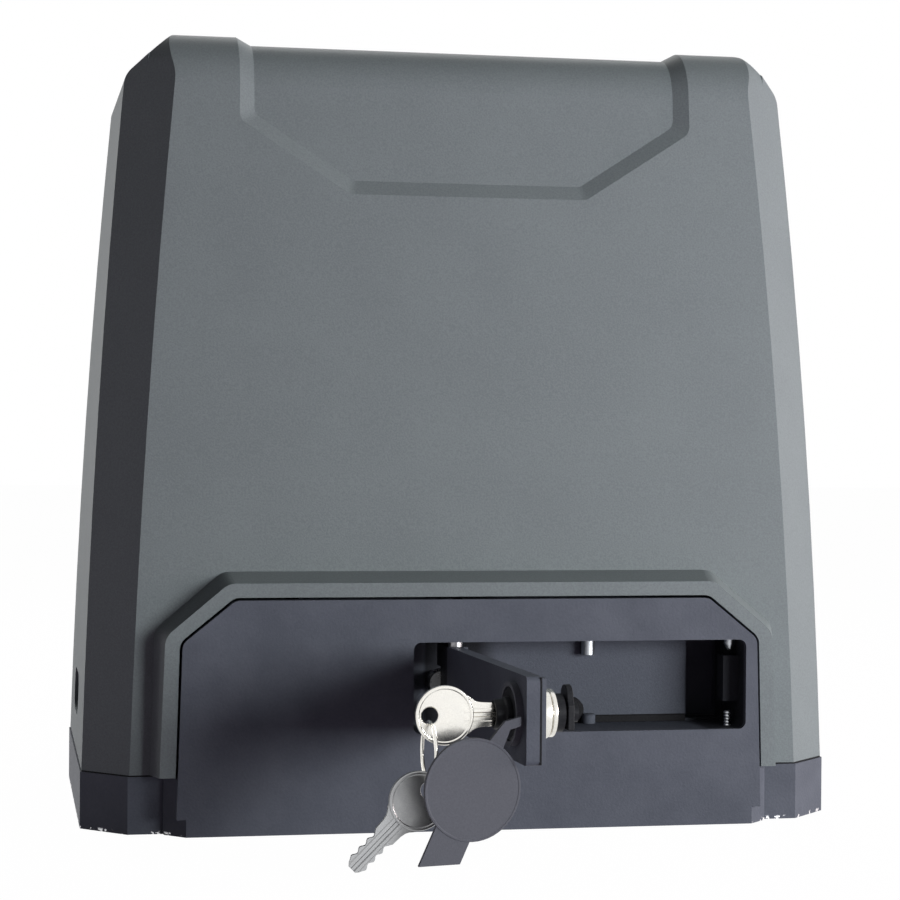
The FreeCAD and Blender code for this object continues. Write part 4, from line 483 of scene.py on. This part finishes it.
def key(name, place, reach, finish, body):
    """A key with a rimmed bow at its origin and a ridged, wave-cut blade along +Y."""
    made = bmesh.new()
    bow, rim, dish, hole = 10.8, 1.25, 0.95, 3.15
    top = [
        circle(bow, rim - 0.3), circle(bow - 0.3, rim), circle(bow - 1.0, rim),
        circle(bow - 1.4, dish), circle(hole + 0.3, dish, -HOLE_OUT),
        circle(hole, dish - 0.3, -HOLE_OUT),
    ]
    bands(made, top + mirrored(top), closed=True)
    # ridges across the blade: place and half thickness
    ridges = [
        (-9, 0.7), (-2.5, 0.7), (-2.1, 1.0), (-0.9, 1.0), (-0.5, 0.5),
        (0.6, 0.5), (1.0, 1.0), (2.0, 1.0), (2.4, 0.7), (9, 0.7),
    ]
    # neck: distance from the bow's middle and half width
    stations = [
        (7.2, 7.6), (9.1, 6.7), (10.3, 5.6), (11.6, 4.9), (13.5, 4.5), (17.6, 4.3), (18.2, 3.8),
    ]
    half_blade, tooth_pitch, tooth_depth, step = 3.75, 4.1, 1.05, 0.5
    start = stations[-1][0]
    along = start + step
    while along < reach - 2:
        wave = 0.5 - 0.5 * math.cos(math.tau * (along - start) / tooth_pitch)
        stations.append((along, half_blade - tooth_depth * wave))
        along += step
    stations += [(reach - 1.2, 2.6), (reach, 1.5)]
    loops = []
    for y, half in stations:
        across = [(max(-half, min(half, z)), thick) for z, thick in ridges]
        upper = [Vector((thick, y, z)) for z, thick in across]
        loops.append(upper + [Vector((-thick, y, z)) for z, thick in across[::-1]])
    bands(made, loops)
    bmesh.ops.remove_doubles(made, verts=made.verts, dist=1e-4)
    settle(name, made, place, finish, body, 0.12, body)


dress_frame()
fit_compartment()
fit_lock()
fit_cap()
key("lock_key", Matrix.Translation((LOCK_AT, BOW_AT, LOCK_HEIGHT)), 37.5, "nickel", "key")
hook = Vector((LOCK_AT, BOW_AT - HOLE_OUT, SPARE_HOLE_HEIGHT))
hung = hook + HOLE_OUT * Vector((0, math.cos(SPARE_TILT), math.sin(SPARE_TILT)))
key(
    "hanging_key", Matrix.Translation(hung) @ Matrix.Rotation(SPARE_TILT, 4, "X"), 34.0,
    "worn_nickel", "spare_key",
)


# ---------------------------------------------------------------- studio

def lamp(name, spot, aim, size, power, colour=(1, 1, 1)):
    """A rectangular lamp that faces a point, with its power in watts."""
    data = bpy.data.lights.new(name, "AREA")
    data.shape = "RECTANGLE"
    data.size, data.size_y = size
    data.energy = power
    data.color = colour
    thing = bpy.data.objects.new(name, data)
    thing.location = spot
    thing.rotation_mode = "QUATERNION"
    thing.rotation_quaternion = (Vector(aim) - Vector(spot)).to_track_quat("-Z", "Y")
    bpy.context.scene.collection.objects.link(thing)


def straight_view(board):
    """1 where the background is seen directly, in a gloss or through glass."""
    path = board.add("ShaderNodeLightPath", {}).socket.node.outputs
    rays = ("Is Camera Ray", "Is Glossy Ray", "Is Transmission Ray")
    straight, gloss, glass = (Level(board, path[name]) for name in rays)
    return straight | gloss | glass


def studio():
    """Broad low light from the right front, two weak edge lights behind, and a white background."""
    scene = bpy.context.scene
    scene.view_settings.view_transform = "Standard"
    middle = (cad_low + cad_high) / 2
    lamp("key", (0.8, -1.08, 0.2), middle, (0.6, 0.35), 16.0, (0.98, 1.0, 1.01))
    lamp("side", (1.18, -0.25, 0.2), middle, (0.6, 0.35), 7.1, (1.0, 0.88, 0.85))
    lamp("left_edge", (-0.9, 0.75, 0.3), middle, (0.7, 0.7), 3.2)
    lamp("top_edge", (0.1, 0.8, 1.1), middle, (0.8, 0.5), 4.2)

    world = bpy.data.worlds.new("studio")
    scene.world = world
    world.use_nodes = True
    board = Board(world.node_tree)
    dim = board.add("ShaderNodeBackground", {}, (1.0, 0.93, 1.0, 1.0), 0.03)
    white = board.add("ShaderNodeBackground", {}, (1.0, 1.0, 1.0, 1.0), 1.0)
    shown = board.add("ShaderNodeMixShader", {}, straight_view(board), dim, white)
    board.link(board.tree.nodes["World Output"].inputs["Surface"], shown)

    made = bmesh.new()
    bmesh.ops.create_grid(made, x_segments=1, y_segments=1, size=6)
    sheet = bpy.data.meshes.new("floor")
    made.to_mesh(sheet)
    made.free()
    floor = bpy.data.objects.new("floor", sheet)
    scene.collection.objects.link(floor)
    f = Finish("floor", (0.7, 0.54, 0.7, 1), 0.9, specular=0.0)
    glow = f.add("ShaderNodeEmission", {}, (1.0, 1.0, 1.0, 1.0), 1.02)
    shade = Level(f, f.shader.outputs["BSDF"])
    shown = f.add("ShaderNodeMixShader", {}, straight_view(f) * 0.97, shade, glow)
    f.link(f.tree.nodes["Material Output"].inputs["Surface"], shown)
    sheet.materials.append(f.material)


def camera():
    """A long lens at the height of the case's middle, from the left front."""
    data = bpy.data.cameras.new("camera")
    data.sensor_width = 36
    data.lens = 93.5
    data.clip_end = 50
    thing = bpy.data.objects.new("camera", data)
    thing.location = (-0.1915, -1.0307, 0.1612)
    look = Vector((0.190, 0.982, -0.007))
    roll = Matrix.Rotation(math.radians(0.42), 4, "Z")
    level = look.to_track_quat("-Z", "Y").to_matrix().to_4x4()
    thing.rotation_euler = (level @ roll).to_euler()
    bpy.context.scene.collection.objects.link(thing)
    bpy.context.scene.camera = thing


studio()
camera()
